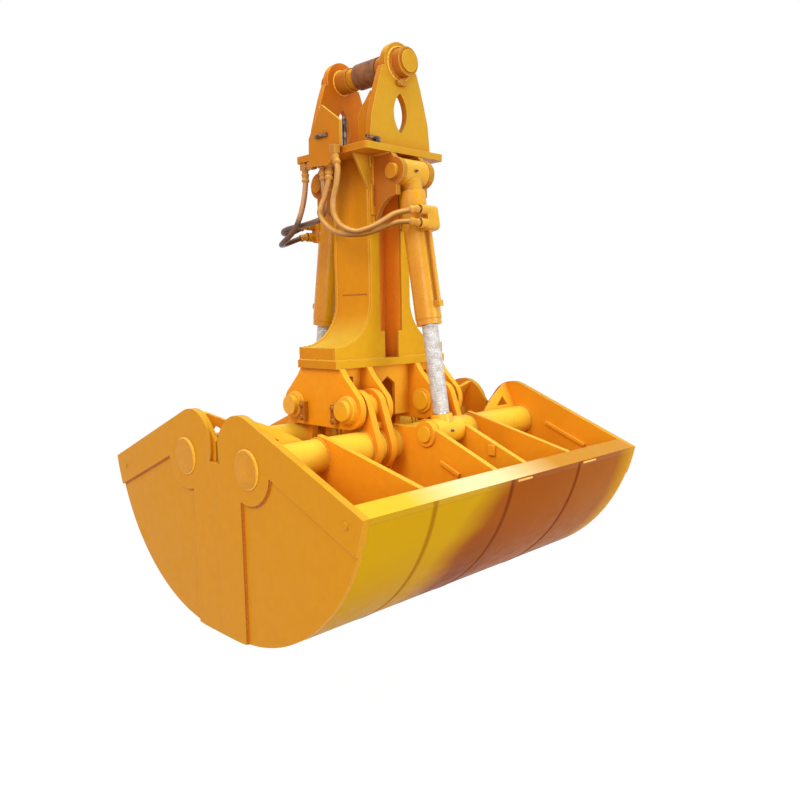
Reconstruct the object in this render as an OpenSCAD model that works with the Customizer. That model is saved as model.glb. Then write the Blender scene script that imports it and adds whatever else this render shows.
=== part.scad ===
// Hydraulic clamshell bucket, in millimetres.
// X runs along the bucket's width, Y is the way the jaws open, and Z points up.
// The origin is the centre of the hanger pin, from which the bucket hangs.
// Heights start at the bucket's lowest point, and each is measured from the piece that carries it.
// Each jaw and each cylinder is drawn on the +Y side, and the near one is its mirror image.

/* [Bowl] */
// Width of the bucket over its end doublers
bucket_w = 1518; // [1420:2:1620]
// Radius of the round back of each jaw
bowl_r = 696; // [680:1:710]
// Half the width of the flat at the bottom
flat_half = 80; // [60:1:100]
// Height of the lip at the top of the round back
lip_z = 549; // [530:1:560]
// Slope of the top edge, in degrees
top_slope = 22.4; // [21:0.1:24]
// Gap from the centre plane to each jaw
parting_gap = 0.2; // [0.15:0.05:2]
// Thickness of the curved back plate
shell_t = 12; // [8:1:16]
// Thickness of an end plate
end_t = 16; // [12:1:20]
// Thickness of the doubler on an end plate
doubler_t = 10; // [6:1:14]
// Distance of the hump's inner side from the centre plane
hump_gap = 24.5; // [20:0.5:30]
// Height of the hump's centre above the tube's centre
hump_up = 49; // [40:1:58]
// Height of the valley between the two jaws' humps above the tube's centre
valley_up = 71; // [62:1:76]
// Half width of the relief slot below the valley
relief_w = 6; // [4:0.5:12]
// Depth of the relief slot below the valley
relief_depth = 69; // [60:1:90]
// Width of the cutting edge
edge_w = 62; // [50:1:70]
// Thickness of the cutting edge
edge_t = 25; // [20:1:32]
// Width of the lip bar
lip_w = 72; // [60:1:80]
// Thickness of the lip bar
lip_t = 20; // [14:1:25]

/* [End doublers] */
// Radius of the hub disc around the tube
hub_r = 122; // [115:1:130]
// Width of the strap along the top edge
strap_w = 120; // [105:1:130]
// Width of the side cutter along the parting
cutter_w = 150; // [130:1:165]
// Radius of the plug in the strap
plug_r = 12; // [8:1:16]
// Height that the plug stands proud
plug_proud = 4; // [2:1:6]
// Distance of the plug from the lip, along Y
plug_from_lip = 76; // [60:1:90]
// Distance of the plug below the lip
plug_below_lip = 29; // [20:1:35]

/* [Torque tube] */
// Outer radius of the tube
tube_r = 63.5; // [57:0.5:66]
// Wall of the tube
tube_wall = 14; // [8:1:18]
// Place of the tube, out from the centre plane
tube_y = 195; // [190:1:200]
// Height of the tube's centre above the lip
tube_up = 67; // [60:1:74]
// Length by which the tube stands out of the doublers
tube_proud = 8; // [4:1:12]
// Thickness of the caps in the tube's ends
tube_cap_t = 10; // [6:1:14]

/* [Ribs] */
// Thickness of a rib
rib_t = 22; // [16:1:26]
// Place of the two ribs that hold the rod eye
ear_rib_x = 84; // [80:1:88]
// Place of the outer left rib
left_rib_x = -450; // [-490:5:-410]
// Place of the outer right rib
right_rib_x = 365; // [345:5:415]
// Height of the inner part of the ear ribs above the tube's centre
ear_rib_up = 74; // [70:1:79]
// Radius of the boss for the rod pin
rod_boss_r = 48; // [44:1:52]
// Height of the ring on the boss
rod_boss_t = 8; // [5:1:12]
// Centre of the hollow side of a rib, out from the centre plane
hollow_y = 20; // [10:1:30]
// Height of the centre of the hollow side
hollow_z = 250; // [240:1:260]
// Radius of the hollow side
hollow_r = 300; // [280:1:310]

/* [Jaw pivots] */
// Place of the jaw pivots, out from the centre plane
pivot_y = 157; // [152:1:162]
// Height of the jaw pivots above the tube's centre
pivot_up = 144; // [139:1:149]
// Radius of the pivot pins
pivot_pin_r = 38; // [34:1:40]
// Radius of the pivot bushes
bush_r = 52; // [48:1:56]
// Thickness of an arm
arm_t = 28; // [22:1:28]
// Radius of an arm's upper eye
arm_eye_r = 72; // [66:1:74]
// Radius of an arm's lower ring
arm_ring_r = 85; // [80:1:88]
// Inner face of the inner arms
arm_in_x = 149; // [149:1:153]
// Outer face of the outer arms
arm_out_x = 247; // [244:1:250]
// Gap between the bushes' outer ends and the outer bracket plates
bush_end_gap = 3; // [2:1:6]
// Thickness of the spacer between two arms
spacer_t = 20; // [14:1:24]
// Depth of the spacer
spacer_d = 60; // [50:1:70]

/* [Lower bracket] */
// Thickness of the bracket plates
bracket_t = 25; // [22:1:26]
// Outer face of the inner bracket plates
bracket_in_x = 145; // [141:1:145]
// Outer face of the outer bracket plates
bracket_out_x = 283; // [278:1:288]
// Radius of a bracket plate's rounded corners
bracket_r = 75; // [70:1:78]
// Thickness of the cross webs
web_t = 16; // [10:1:20]
// Place of the cross webs' outer face
web_y = 78; // [70:1:80]
// Distance of the webs' lower edge below the pivots
web_drop = 55; // [45:1:60]
// Radius of the collars on the pins' outer ends
pin_collar_r = 50; // [46:1:54]
// Length of the collars
pin_collar_t = 18; // [14:1:24]
// Length of a pin beyond its collar
pin_nose = 20; // [14:1:30]
// Width of a pin keeper
keeper_w = 26; // [20:1:30]
// Height of a pin keeper
keeper_h = 76; // [70:1:90]
// Thickness of a pin keeper
keeper_t = 22; // [16:1:26]
// Distance of a keeper's centre below the pivot
keeper_drop = 20; // [10:1:26]

/* [Column] */
// Half the width of the column along X
column_x = 105; // [100:1:108]
// Half the depth of the column along Y
column_y = 108; // [98:1:112]
// Thickness of the column's plates
column_t = 12; // [10:1:16]
// Half the width of the recess in the front and back
recess_half = 60; // [54:1:66]
// Half the width of the recess at its lower end
throat_half = 38; // [32:1:44]
// Height above the foot plate from which the recess has its full width
throat_up = 106; // [90:1:120]
// Radius of the flare at the foot
flare_r = 181; // [170:1:190]
// Height of the flare's centre above the foot plate
flare_up = 231; // [222:1:240]
// Set-back of the cheeks from the face strips' edges
cheek_inset = 2; // [1:1:4]
// Thickness of the foot plate
foot_t = 30; // [24:1:34]
// Height of the foot plate's underside above the jaw pivots
bracket_rise = 150; // [145:1:155]
// Half the width of the foot plate
foot_x = 299; // [296:1:306]
// Half the depth of the foot plate
foot_y = 116; // [112:1:124]
// Set-back of the flared skirts from the foot plate's edge
skirt_inset = 3; // [2:1:6]

/* [Head] */
// Height of the head plate's top above the foot plate's top
column_h = 795; // [785:1:805]
// Thickness of the head plate
head_t = 25; // [20:1:30]
// Radius of the head plate's corners
head_round = 20; // [10:1:30]
// Half the side of the square head plate
head_half = 209; // [204:1:214]
// Width of a head gusset at its top
head_gusset_w = 75; // [60:1:85]
// Height of a head gusset
head_gusset_h = 128; // [115:1:140]
// Height of the hanger pin above the head plate's top
pin_up = 310; // [300:1:320]
// Radius of the hanger pin
hanger_pin_r = 40; // [35:1:42]
// Distance of the ears' outer faces from the head plate's edge
ear_set_in = 31; // [27:1:35]
// Thickness of an ear
ear_t = 27; // [24:1:32]
// Radius of an ear's round head
ear_head_r = 78; // [74:1:84]
// Half the width of an ear at its base
ear_base_half = 160; // [150:1:165]
// Height of the ear's window
window_h = 148; // [130:1:160]
// Width of the ear's window
window_w = 70; // [60:1:80]
// Height of the window's centre above the head plate
window_up = 131; // [130:1:145]
// Radius of the inner bosses around the pin
inner_boss_r = 46; // [44:1:50]
// Length of the inner bosses
inner_boss_l = 64; // [55:1:70]
// Radius of the outer collars
outer_collar_r = 52; // [48:1:58]
// Length of the outer collars
outer_collar_l = 46; // [40:1:50]
// Radius of the ring at the foot of an outer collar
collar_foot_r = 60; // [58:1:66]
// Length of the ring at the foot of an outer collar
collar_foot_l = 7; // [4:1:10]
// Length of the pin beyond the outer collars
pin_end_l = 8; // [6:1:14]
// Outer radius of the loose sleeve on the pin's middle
sleeve_out_r = 49; // [47:1:54]
// Length of the pin that the loose sleeve leaves bare
sleeve_play = 42; // [30:1:50]
// Width of the gussets beside the ears, at the head plate
ear_gusset_w = 69; // [60:1:78]
// Height of the gussets beside the ears
ear_gusset_h = 198; // [180:1:205]
// Place of these gussets along X
ear_gusset_x = 122; // [116:1:126]
// Thickness of the curved gussets
ear_gusset_t = 16; // [12:1:20]

/* [Cylinders] */
// Place of the head pins, out from the centre plane
head_pin_y = 220; // [216:1:224]
// Distance of the head pins below the head plate's top
head_pin_drop = 96; // [91:1:101]
// Place of the rod pins, out from the centre plane
rod_pin_y = 378; // [374:1:382]
// Height of the rod pins above the tube's centre
rod_pin_up = 54; // [49:1:59]
// Radius of the head pins
head_pin_r = 28; // [24:1:30]
// Radius of the rod pins
rod_pin_r = 30; // [26:1:32]
// Half the length of the head eye
head_eye_half = 60; // [56:1:60]
// Radius of the eyes at both ends
eye_r = 50; // [46:1:52]
// Thickness of a lug
lug_t = 22; // [20:1:28]
// Radius of a lug around its pin
lug_r = 52; // [50:1:60]
// Outer radius of the barrel
barrel_r = 50; // [48:1:54]
// Bore radius of the barrel
bore_r = 41; // [38:1:42]
// Distance from the head pin to the barrel's lower end
barrel_end = 556; // [550:1:560]
// Distance from the head pin to the barrel's top
barrel_top = 74; // [70:1:80]
// Radius of the neck between the head eye and the barrel
neck_r = 42; // [38:1:45]
// Length of the gland ring that shows
gland_l = 22; // [16:1:26]
// Length of the gland inside the barrel
gland_in = 46; // [36:1:56]
// Radius of the rod
rod_r = 26; // [24:1:28]
// Length of the piston
piston_l = 50; // [40:1:60]
// Length of the rod eye's neck
rod_neck_l = 14; // [10:1:24]

/* [Hydraulics] */
// Radius of the hoses
hose_r = 11; // [9:0.5:13]
// Radius of the steel oil pipe on a barrel
oil_pipe_r = 8; // [6:0.5:10]
// Distance of each cylinder's upper port below its head pin
upper_port_drop = 149; // [144:1:154]
// Distance of each cylinder's lower port below its head pin
lower_port_drop = 197; // [192:1:200]
// Place of the ports, out from the centre plane
port_y = 330; // [328:1:332]
// Outer radius of the couplings
coupling_r = 7; // [7:0.5:10]
// Length of the couplings
coupling_l = 66; // [60:1:76]
// Radius of the thread in the couplings
thread_r = 4; // [3:0.5:4.5]
// Depth of the thread
thread_l = 22; // [16:1:26]
// Outer radius of the supply pipe stub
stub_r = 9; // [8:1:12]
// Height of the supply pipe stub
stub_h = 110; // [90:1:120]
// Bore radius of the supply pipe stub
stub_bore_r = 5; // [4:0.5:6]

/* [Hidden] */

// Finishes
paint = [0.90, 0.62, 0.15];
paint_deep = [0.82, 0.48, 0.12];
paint_light = [0.94, 0.70, 0.22];
bare_steel = [0.66, 0.66, 0.68];
dark_steel = [0.25, 0.24, 0.25];
rust = [0.45, 0.32, 0.24];
hose_tan = [0.62, 0.45, 0.22];

// Clearances and the overrun of every cut
weld_gap = 0.3;
run_gap = 0.3;
side_gap = 1.5;
overrun = 1;

// Fineness of round faces, by size
fine = 180;
medium = 72;
small = 36;

// Places that several pieces share
end_in_x = bucket_w / 2 - doubler_t - end_t;
doubler_in_x = bucket_w / 2 - doubler_t;
slope_t = tan(top_slope);
lip_y = flat_half + sqrt(bowl_r * bowl_r - (bowl_r - lip_z) * (bowl_r - lip_z));
slope_dir = [cos(top_slope), -sin(top_slope)];
slope_out = [sin(top_slope), cos(top_slope)];
lip_point = [lip_y, lip_z];
tube_z = lip_z + tube_up;
hump_z = tube_z + hump_up;
valley_z = tube_z + valley_up;
relief_z = valley_z - relief_depth;
ear_rib_z = tube_z + ear_rib_up;
rod_pin_z = tube_z + rod_pin_up;
pivot_z = tube_z + pivot_up;
web_z = pivot_z - web_drop;
foot_low_z = pivot_z + bracket_rise;
foot_z = foot_low_z + foot_t;
throat_z = foot_z + throat_up;
head_z = foot_z + column_h;
head_pin_z = head_z - head_pin_drop;
hanger_z = head_z + pin_up;
pivot = [pivot_y, pivot_z];
tube_c = [tube_y, tube_z];
rod_pin = [rod_pin_y, rod_pin_z];
head_pin = [head_pin_y, head_pin_z];
hump_fall = lip_z - hump_z + (lip_y - hump_gap) * slope_t;
hump_r = cos(top_slope) * hump_fall / (1 + sin(top_slope));
hump_c = [hump_gap + hump_r, hump_z];
valley = [relief_w, valley_z];
ear_out_y = head_half - ear_set_in;
ear_in_y = ear_out_y - ear_t;
arm_mid_gap = arm_out_x - arm_in_x - 2 * arm_t;
bracket_low_in_x = bracket_in_x - bracket_t;
bracket_web_x = bracket_out_x - bracket_t;
head_low_z = head_z - head_t;
tilt = atan((rod_pin_y - head_pin_y) / (head_pin_z - rod_pin_z));
pin_to_pin = norm(rod_pin - head_pin);
lug_in_x = head_eye_half + side_gap;
lug_out_x = lug_in_x + lug_t;
rod_eye_half = ear_rib_x - rib_t / 2 - side_gap;
boss_out_x = ear_rib_x + rib_t / 2 + rod_boss_t;

// Height of the top edge's line at a distance out from the centre plane
function top_line(y) = lip_z + (lip_y - y) * slope_t;
// A point moved down from the top edge's line, square to it
function below_top(y, depth) = [y, top_line(y)] - depth * slope_out;
// The four corners that join two circles with straight flanks
function flank_point(c, r, dir) = c + r * [cos(dir), sin(dir)];
function flanks(c1, r1, c2, r2) =
    let (d = norm(c2 - c1), base = atan2(c2[1] - c1[1], c2[0] - c1[0]), lean = acos((r1 - r2) / d))
    [flank_point(c1, r1, base + lean), flank_point(c2, r2, base + lean),
     flank_point(c2, r2, base - lean), flank_point(c1, r1, base - lean)];
// The point where the line from p to a circle just touches it, on the left of that line
function touch(p, c, r) =
    let (d = norm(c - p), base = atan2(c[1] - p[1], c[0] - p[0]), half = asin(r / d))
    p + sqrt(d * d - r * r) * [cos(base + half), sin(base + half)];

// A piece in the hanging frame
module hang() translate([0, 0, -hanger_z]) children();
// A piece whose heights are measured from the head plate's top
module at_head() translate([0, 0, -pin_up]) children();
// A piece of the near side, drawn as its far twin
module near_side() mirror([0, 1, 0]) children();
// A plate square to X, from x to x + t, with its outline in Y and Z
module plate_x(x, t) translate([x, 0, 0]) rotate([90, 0, 90]) linear_extrude(t) children();
// A plate square to Y, from y to y + t, with its outline in X and Z
module plate_y(y, t) translate([0, y + t, 0]) rotate([90, 0, 0]) linear_extrude(t) children();
// A round bar along X, from x1 to x2, at a point of the Y and Z plane
module bar_x(x1, x2, at, r, fn = medium)
    translate([x1, at[0], at[1]]) rotate([0, 90, 0]) cylinder(h = x2 - x1, r = r, $fn = fn);
// A round bar along Y, from y1 to y2
module bar_y(x, z, y1, y2, r, fn = medium)
    translate([x, y1, z]) rotate([-90, 0, 0]) cylinder(h = y2 - y1, r = r, $fn = fn);
// The same piece on the left and on the right
module both_x() {
    children();
    mirror([1, 0, 0]) children();
}
// The same piece on the near and on the far side
module both_y() {
    children();
    mirror([0, 1, 0]) children();
}
// Two circles joined by straight flanks
module link_outline(c1, r1, c2, r2) {
    translate(c1) circle(r1, $fn = medium);
    translate(c2) circle(r2, $fn = medium);
    polygon(flanks(c1, r1, c2, r2));
}

// Outlines of the jaw, in Y and Z
module bowl_disc(inset = 0) {
    translate([flat_half, bowl_r]) circle(bowl_r - inset, $fn = fine);
    translate([parting_gap, inset]) square([flat_half - parting_gap, bowl_r - inset]);
}
module jaw_roof() {
    far_y = flat_half + bowl_r;
    touch_top = hump_c + hump_r * slope_out;
    polygon([[parting_gap, 0], [far_y, 0], [far_y, top_line(far_y)], touch_top, hump_c,
        touch(valley, hump_c, hump_r), valley, [parting_gap, valley_z]]);
    translate(hump_c) circle(hump_r, $fn = medium);
}
module jaw_outline() difference() {
    intersection() {
        bowl_disc();
        jaw_roof();
    }
    translate([0, relief_z]) square([relief_w, valley_z - relief_z + overrun]);
    translate([0, relief_z]) circle(relief_w, $fn = small);
}
module strap_band() polygon([lip_point + lip_w * slope_dir + overrun * slope_out,
    hump_c + (hump_r + overrun) * slope_out, hump_c, below_top(tube_y, strap_w),
    below_top(lip_y + lip_w, strap_w)]);
module doubler_outline() intersection() {
    jaw_outline();
    union() {
        strap_band();
        translate(tube_c) circle(hub_r, $fn = fine);
        translate(hump_c) circle(hump_r + overrun, $fn = medium);
        translate([0, -overrun]) square([cutter_w, tube_z]);
    }
}

module end_plate(side) color(paint) hang() {
    x = side < 0 ? -doubler_in_x : end_in_x;
    difference() {
        plate_x(x, end_t) jaw_outline();
        bar_x(x - overrun, x + end_t + overrun, tube_c, tube_r + weld_gap, fine);
    }
}
module end_doublers() color(paint) hang() both_x() {
    difference() {
        plate_x(doubler_in_x, doubler_t) doubler_outline();
        bar_x(doubler_in_x - overrun, bucket_w / 2 + overrun, tube_c, tube_r + weld_gap, fine);
    }
    bar_x(bucket_w / 2, bucket_w / 2 + plug_proud,
        [lip_y - plug_from_lip, lip_z - plug_below_lip], plug_r, small);
}
module shell_plate() color(paint_deep) hang() plate_x(-end_in_x, 2 * end_in_x) intersection() {
    difference() {
        bowl_disc();
        bowl_disc(shell_t);
    }
    polygon([[edge_w, 0], [lip_y + flat_half, 0], below_top(lip_y + flat_half, lip_t),
        below_top(lip_y - lip_w, lip_t), [edge_w, shell_t + overrun]]);
}
module cutting_edge() color(paint_deep) hang() plate_x(-end_in_x, 2 * end_in_x)
    polygon([[parting_gap, 0], [edge_w, 0], [edge_w, edge_t], [edge_t, edge_t], [parting_gap, edge_t / 2]]);
module lip_bar() color(paint_light) hang() plate_x(-end_in_x, 2 * end_in_x) intersection() {
    bowl_disc();
    polygon([below_top(lip_y + lip_w, 0), lip_point - lip_w * slope_dir,
        lip_point - lip_w * slope_dir - lip_t * slope_out, below_top(lip_y + lip_w, lip_t)]);
}
module torque_tube() color(paint_light) hang() {
    half = bucket_w / 2 + tube_proud;
    difference() {
        bar_x(-half, half, tube_c, tube_r, fine);
        bar_x(-half - overrun, half + overrun, tube_c, tube_r - tube_wall, fine);
    }
    both_x() bar_x(half - tube_cap_t, half, tube_c, tube_r - tube_wall - weld_gap, fine);
}

// A rib fills the space between the back plate and its own hollow side
module rib_outline(top) difference() {
    intersection() {
        bowl_disc(shell_t + weld_gap);
        polygon(concat([[tube_y, 0], [lip_y, 0]], top));
    }
    translate([hollow_y, hollow_z]) circle(hollow_r, $fn = fine);
}
lip_inner = lip_point - (lip_w + weld_gap) * slope_dir;
lip_under = lip_inner - (lip_t + weld_gap) * slope_out;
lip_floor = below_top(lip_y, lip_t + weld_gap);
// The corner of a plain rib beside the tube, as shares of the tube's radius
shoulder_of_rib_share = [1.2, 0.97];
module plain_rib() difference() {
    plate_x(-rib_t / 2, rib_t) rib_outline([lip_floor, lip_under, lip_inner,
        tube_c + tube_r * shoulder_of_rib_share, [tube_y, tube_z + tube_r + tube_wall]]);
    bar_x(-rib_t, rib_t, tube_c, tube_r + weld_gap, fine);
}
module ear_rib() difference() {
    union() {
        plate_x(-rib_t / 2, rib_t) {
            rib_outline([lip_floor, lip_under, lip_inner, [rod_pin_y, top_line(rod_pin_y)],
                [rod_pin_y, ear_rib_z], [tube_y, ear_rib_z]]);
            translate(rod_pin) circle(rod_boss_r, $fn = medium);
        }
        bar_x(0, rib_t / 2 + rod_boss_t, rod_pin, rod_boss_r);
    }
    bar_x(-rib_t, rib_t + rod_boss_t, rod_pin, rod_pin_r + weld_gap);
    bar_x(-rib_t, rib_t, tube_c, tube_r + weld_gap, fine);
}
module ribs() color(paint) hang() {
    for (x = [left_rib_x, right_rib_x]) translate([x, 0, 0]) plain_rib();
    both_x() translate([ear_rib_x, 0, 0]) ear_rib();
}
module arm(x) difference() {
    plate_x(x, arm_t) link_outline(pivot, arm_eye_r, tube_c, arm_ring_r);
    bar_x(x - overrun, x + arm_t + overrun, pivot, bush_r + weld_gap);
    bar_x(x - overrun, x + arm_t + overrun, tube_c, tube_r + weld_gap, fine);
}
module arms() color(paint) hang() both_x() {
    arm(arm_in_x);
    arm(arm_out_x - arm_t);
    translate([arm_in_x + arm_t, tube_y - spacer_d / 2, pivot_z - arm_eye_r])
        cube([arm_mid_gap, spacer_d, spacer_t]);
}
module pivot_bushes() color(paint_light) hang() both_x() difference() {
    bush_out_x = bracket_web_x - bush_end_gap;
    bar_x(arm_in_x, bush_out_x, pivot, bush_r);
    bar_x(arm_in_x - overrun, bush_out_x + overrun, pivot, pivot_pin_r + run_gap);
}

// Gusset with a window, square to the tube's skin and to the end plate, as shares of its foot and height
gusset_shares = [[0, 0], [1, 0], [0.6, 0.5], [0.06, 1], [0, 1]];
window_shares = [[0.22, 0.135], [0.575, 0.135], [0.28, 0.49]];
gusset_foot = 230;
gusset_rise = 120;
gusset_t = 14;
gusset_lean = 29;
stiffener_out = 140;
stiffener_l = 218;
stiffener_w = 14;
stiffener_t = 12;
rib_bar_out = 256;
rib_bar_drop = 48;
rib_bar_l = 97;
tab_out = 345;
tab_drop = 28;
tab_size = [12, 30, 38];
function gusset_point(s) = [end_in_x - s[0] * gusset_foot, tube_r + weld_gap + s[1] * gusset_rise];
module tube_gusset() translate([0, tube_y, tube_z]) rotate([gusset_lean, 0, 0])
    plate_y(-gusset_t / 2, gusset_t) difference() {
        polygon([for (s = gusset_shares) gusset_point(s)]);
        polygon([for (s = window_shares) gusset_point(s)]);
    }
// A bar beside a plate, sloped like the top edge, from a point given from the tube's centre
module sloped_bar(x, out, drop, l) translate([x, tube_y + out, tube_z - drop])
    rotate([-top_slope, 0, 0]) cube([stiffener_t, l, stiffener_w]);
module stiffeners() color(paint_light) hang() {
    both_x() tube_gusset();
    both_x() sloped_bar(end_in_x - stiffener_t, stiffener_out, tube_wall / 2, stiffener_l);
    sloped_bar(-ear_rib_x - rib_t / 2 - stiffener_t, rib_bar_out, rib_bar_drop, rib_bar_l);
    translate([ear_rib_x - rib_t / 2 - tab_size[0], tube_y + tab_out, tube_z - tab_drop]) cube(tab_size);
}
module rod_pin_ends() color(paint_light) hang() both_x()
    bar_x(rod_eye_half + side_gap, boss_out_x + rod_boss_t, rod_pin, rod_pin_r);

// Lower bracket, with its outline as shares of the pivots' places
shoulder_shares = [[0.76, 1], [0.9, 0.8], [1.39, 0.3]];
module bracket_outline() {
    right = [for (s = shoulder_shares) [s[0] * pivot_y, pivot_z + s[1] * bracket_rise]];
    left = [for (i = [len(right) - 1:-1:0]) [-right[i][0], right[i][1]]];
    low = pivot_z - bracket_r;
    polygon(concat(left, right, [[pivot_y + bracket_r, pivot_z], [pivot_y, low], [-pivot_y, low],
        [-pivot_y - bracket_r, pivot_z]]));
    for (s = [-1, 1]) translate([s * pivot_y, pivot_z]) circle(bracket_r, $fn = medium);
}
module bracket_plate(x) difference() {
    plate_x(x, bracket_t) bracket_outline();
    for (s = [-1, 1])
        bar_x(x - overrun, x + bracket_t + overrun, [s * pivot_y, pivot_z], pivot_pin_r + weld_gap);
}
module bracket_outer_plates() color(paint) hang() both_x() bracket_plate(bracket_web_x);
module bracket_inner_plates() color(paint) hang() both_x() bracket_plate(bracket_low_in_x);
// A web's window, as shares of the web's width and height
slot_shares = [[0.345, 0.61], [0.75, 0.61], [0.75, 0.83], [0.345, 0.83]];
gate_shares = [[0.33, 0], [0.67, 0], [0.67, 0.63], [0.5, 0.77], [0.33, 0.63]];
module web(x1, x2, shares) {
    w = x2 - x1;
    h = foot_low_z - web_z;
    plate_y(web_y - web_t, web_t) difference() {
        translate([x1, web_z]) square([w, h]);
        polygon([for (s = shares) [x1 + s[0] * w, web_z + s[1] * h - (s[1] == 0 ? overrun : 0)]]);
    }
}
module bracket_webs() color(paint_deep) hang() both_y() {
    both_x() web(bracket_in_x, bracket_web_x, slot_shares);
    web(-bracket_low_in_x, bracket_low_in_x, gate_shares);
}
pin_out_x = bracket_out_x + pin_collar_t + pin_nose;
pin_in_x = bracket_low_in_x - pin_collar_t;
module jaw_pivot_pins() color(paint_light) hang() both_y() both_x() {
    bar_x(pin_in_x, pin_out_x, pivot, pivot_pin_r);
    difference() {
        bar_x(bracket_out_x, bracket_out_x + pin_collar_t, pivot, pin_collar_r);
        bar_x(bracket_out_x - overrun, pin_out_x, pivot, pivot_pin_r + weld_gap);
    }
    difference() {
        bar_x(bracket_low_in_x - pin_collar_t / 2, bracket_low_in_x, pivot, pin_collar_r);
        bar_x(pin_in_x - overrun, bracket_low_in_x + overrun, pivot, pivot_pin_r + weld_gap);
    }
}
keeper_y = pivot_y - pin_collar_r - weld_gap - keeper_w;
keeper_z = pivot_z - keeper_drop;
keeper_bolt_r = 9;
keeper_bolt_l = 8;
keeper_bolt_up = 24;
module pivot_keepers() hang() both_y() both_x() {
    translate([bracket_out_x, keeper_y, keeper_z - keeper_h / 2]) cube([keeper_t, keeper_w, keeper_h]);
    for (s = [-1, 1])
        bar_x(bracket_out_x + keeper_t, bracket_out_x + keeper_t + keeper_bolt_l,
            [keeper_y + keeper_w / 2, keeper_z + s * keeper_bolt_up], keeper_bolt_r, 6);
}

// Column
flare_c = [column_x + flare_r, foot_z + flare_up];
skirt_x = foot_x - skirt_inset;
skirt_z = flare_c[1] - sqrt(flare_r * flare_r - (flare_c[0] - skirt_x) * (flare_c[0] - skirt_x));
module column_foot() color(paint_light) hang()
    translate([-foot_x, -foot_y, foot_low_z]) cube([2 * foot_x, 2 * foot_y, foot_t]);
module face_outline() difference() {
    union() {
        translate([recess_half, foot_z]) square([column_x - recess_half, head_low_z - foot_z]);
        translate([throat_half, foot_z]) square([skirt_x - throat_half, flare_c[1] - foot_z]);
    }
    translate(flare_c) circle(flare_r, $fn = fine);
    translate([throat_half - overrun, throat_z])
        square([recess_half - throat_half + overrun, head_low_z - throat_z]);
}
module column_face_plates() color(paint) hang() both_y() both_x()
    plate_y(column_y - column_t, column_t) face_outline();
cheek_half_y = column_y - column_t - weld_gap;
module cheek_outline() {
    out_r = flare_r + cheek_inset;
    translate([column_x - cheek_inset - column_t, flare_c[1]])
        square([column_t, head_low_z - flare_c[1]]);
    intersection() {
        difference() {
            translate(flare_c) circle(out_r + column_t, $fn = fine);
            translate(flare_c) circle(out_r, $fn = fine);
        }
        translate([0, foot_z]) square([skirt_x - cheek_inset, flare_c[1] - foot_z]);
    }
    translate([skirt_x - cheek_inset - column_t, foot_z])
        square([column_t, skirt_z - foot_z - cheek_inset]);
}
module cheek() translate([0, -cheek_half_y, 0]) plate_y(0, 2 * cheek_half_y) cheek_outline();
module column_right_cheek() color(paint) hang() cheek();
module column_left_cheek() color(paint) hang() mirror([1, 0, 0]) cheek();
module column_web() color(paint_deep) hang() {
    inner_y = column_y - column_t - weld_gap;
    height = head_low_z - foot_z;
    both_x() translate([recess_half, -inner_y, foot_z]) cube([column_t, 2 * inner_y, height]);
    translate([-recess_half, -column_t / 2, foot_z]) cube([2 * recess_half, column_t, height]);
}

// Head
module head_plate() color(paint_light) hang() translate([0, 0, head_low_z]) linear_extrude(head_t) {
    inner = head_half - head_round;
    square([2 * head_half, 2 * inner], center = true);
    square([2 * inner, 2 * head_half], center = true);
    for (x = [-inner, inner]) for (y = [-inner, inner])
        translate([x, y]) circle(head_round, $fn = small);
}
ear_gusset_shares = [[0, 0], [1, 0], [1, 0.605], [0.80, 0.685], [0.62, 0.78], [0.33, 0.87], [0, 1]];
module head_gussets() color(paint) hang() both_y() both_x() {
    plate_y(column_y - column_t, column_t) polygon([[column_x, head_low_z],
        [column_x + head_gusset_w, head_low_z], [column_x, head_low_z - head_gusset_h]]);
    plate_x(ear_gusset_x - ear_gusset_t / 2, ear_gusset_t) polygon([for (s = ear_gusset_shares)
        [ear_in_y - s[0] * ear_gusset_w, head_z + s[1] * ear_gusset_h]]);
}
// Half of an ear's outline, as shares of its base width and its height up to the pin
ear_shares = [[1, 0], [0.987, 0.11], [0.93, 0.355], [0.82, 0.548], [0.70, 0.745], [0.64, 0.83],
    [0.555, 0.942]];
module ear_outline() {
    right = [for (s = ear_shares) [s[0] * ear_base_half, head_z + s[1] * pin_up]];
    left = [for (i = [len(right) - 1:-1:0]) [-right[i][0], right[i][1]]];
    difference() {
        union() {
            polygon(concat(right, left));
            translate([0, hanger_z]) circle(ear_head_r, $fn = fine);
        }
        window_r = (window_h * window_h + window_w * window_w) / (4 * window_w);
        translate([0, head_z + window_up]) intersection() {
            translate([window_r - window_w / 2, 0]) circle(window_r, $fn = medium);
            translate([window_w / 2 - window_r, 0]) circle(window_r, $fn = medium);
        }
    }
}
module ear() color(paint) difference() {
    plate_y(ear_in_y, ear_t) ear_outline();
    bar_y(0, hanger_z, ear_in_y - overrun, ear_out_y + overrun, hanger_pin_r + weld_gap);
}
module hanger_ear_far() hang() ear();
module hanger_ear_near() hang() near_side() ear();
collar_out_y = ear_out_y + outer_collar_l;
module pin_ring(y1, y2, r) difference() {
    bar_y(0, hanger_z, y1, y2, r);
    bar_y(0, hanger_z, y1 - overrun, y2 + overrun, hanger_pin_r + weld_gap);
}
module ear_bosses() color(paint_light) hang() both_y() {
    pin_ring(ear_in_y - inner_boss_l, ear_in_y, inner_boss_r);
    pin_ring(ear_out_y, collar_out_y, outer_collar_r);
    pin_ring(ear_out_y, ear_out_y + collar_foot_l, collar_foot_r);
}
module hanger_pin() color(rust) hang()
    bar_y(0, hanger_z, -collar_out_y - pin_end_l, collar_out_y + pin_end_l, hanger_pin_r, fine);
sleeve_half = ear_in_y - inner_boss_l - side_gap;
module pin_sleeve() color(rust) hang() pin_ring(-sleeve_half, sleeve_half - sleeve_play, sleeve_out_r);
lock_bolt_r = 6;
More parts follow.
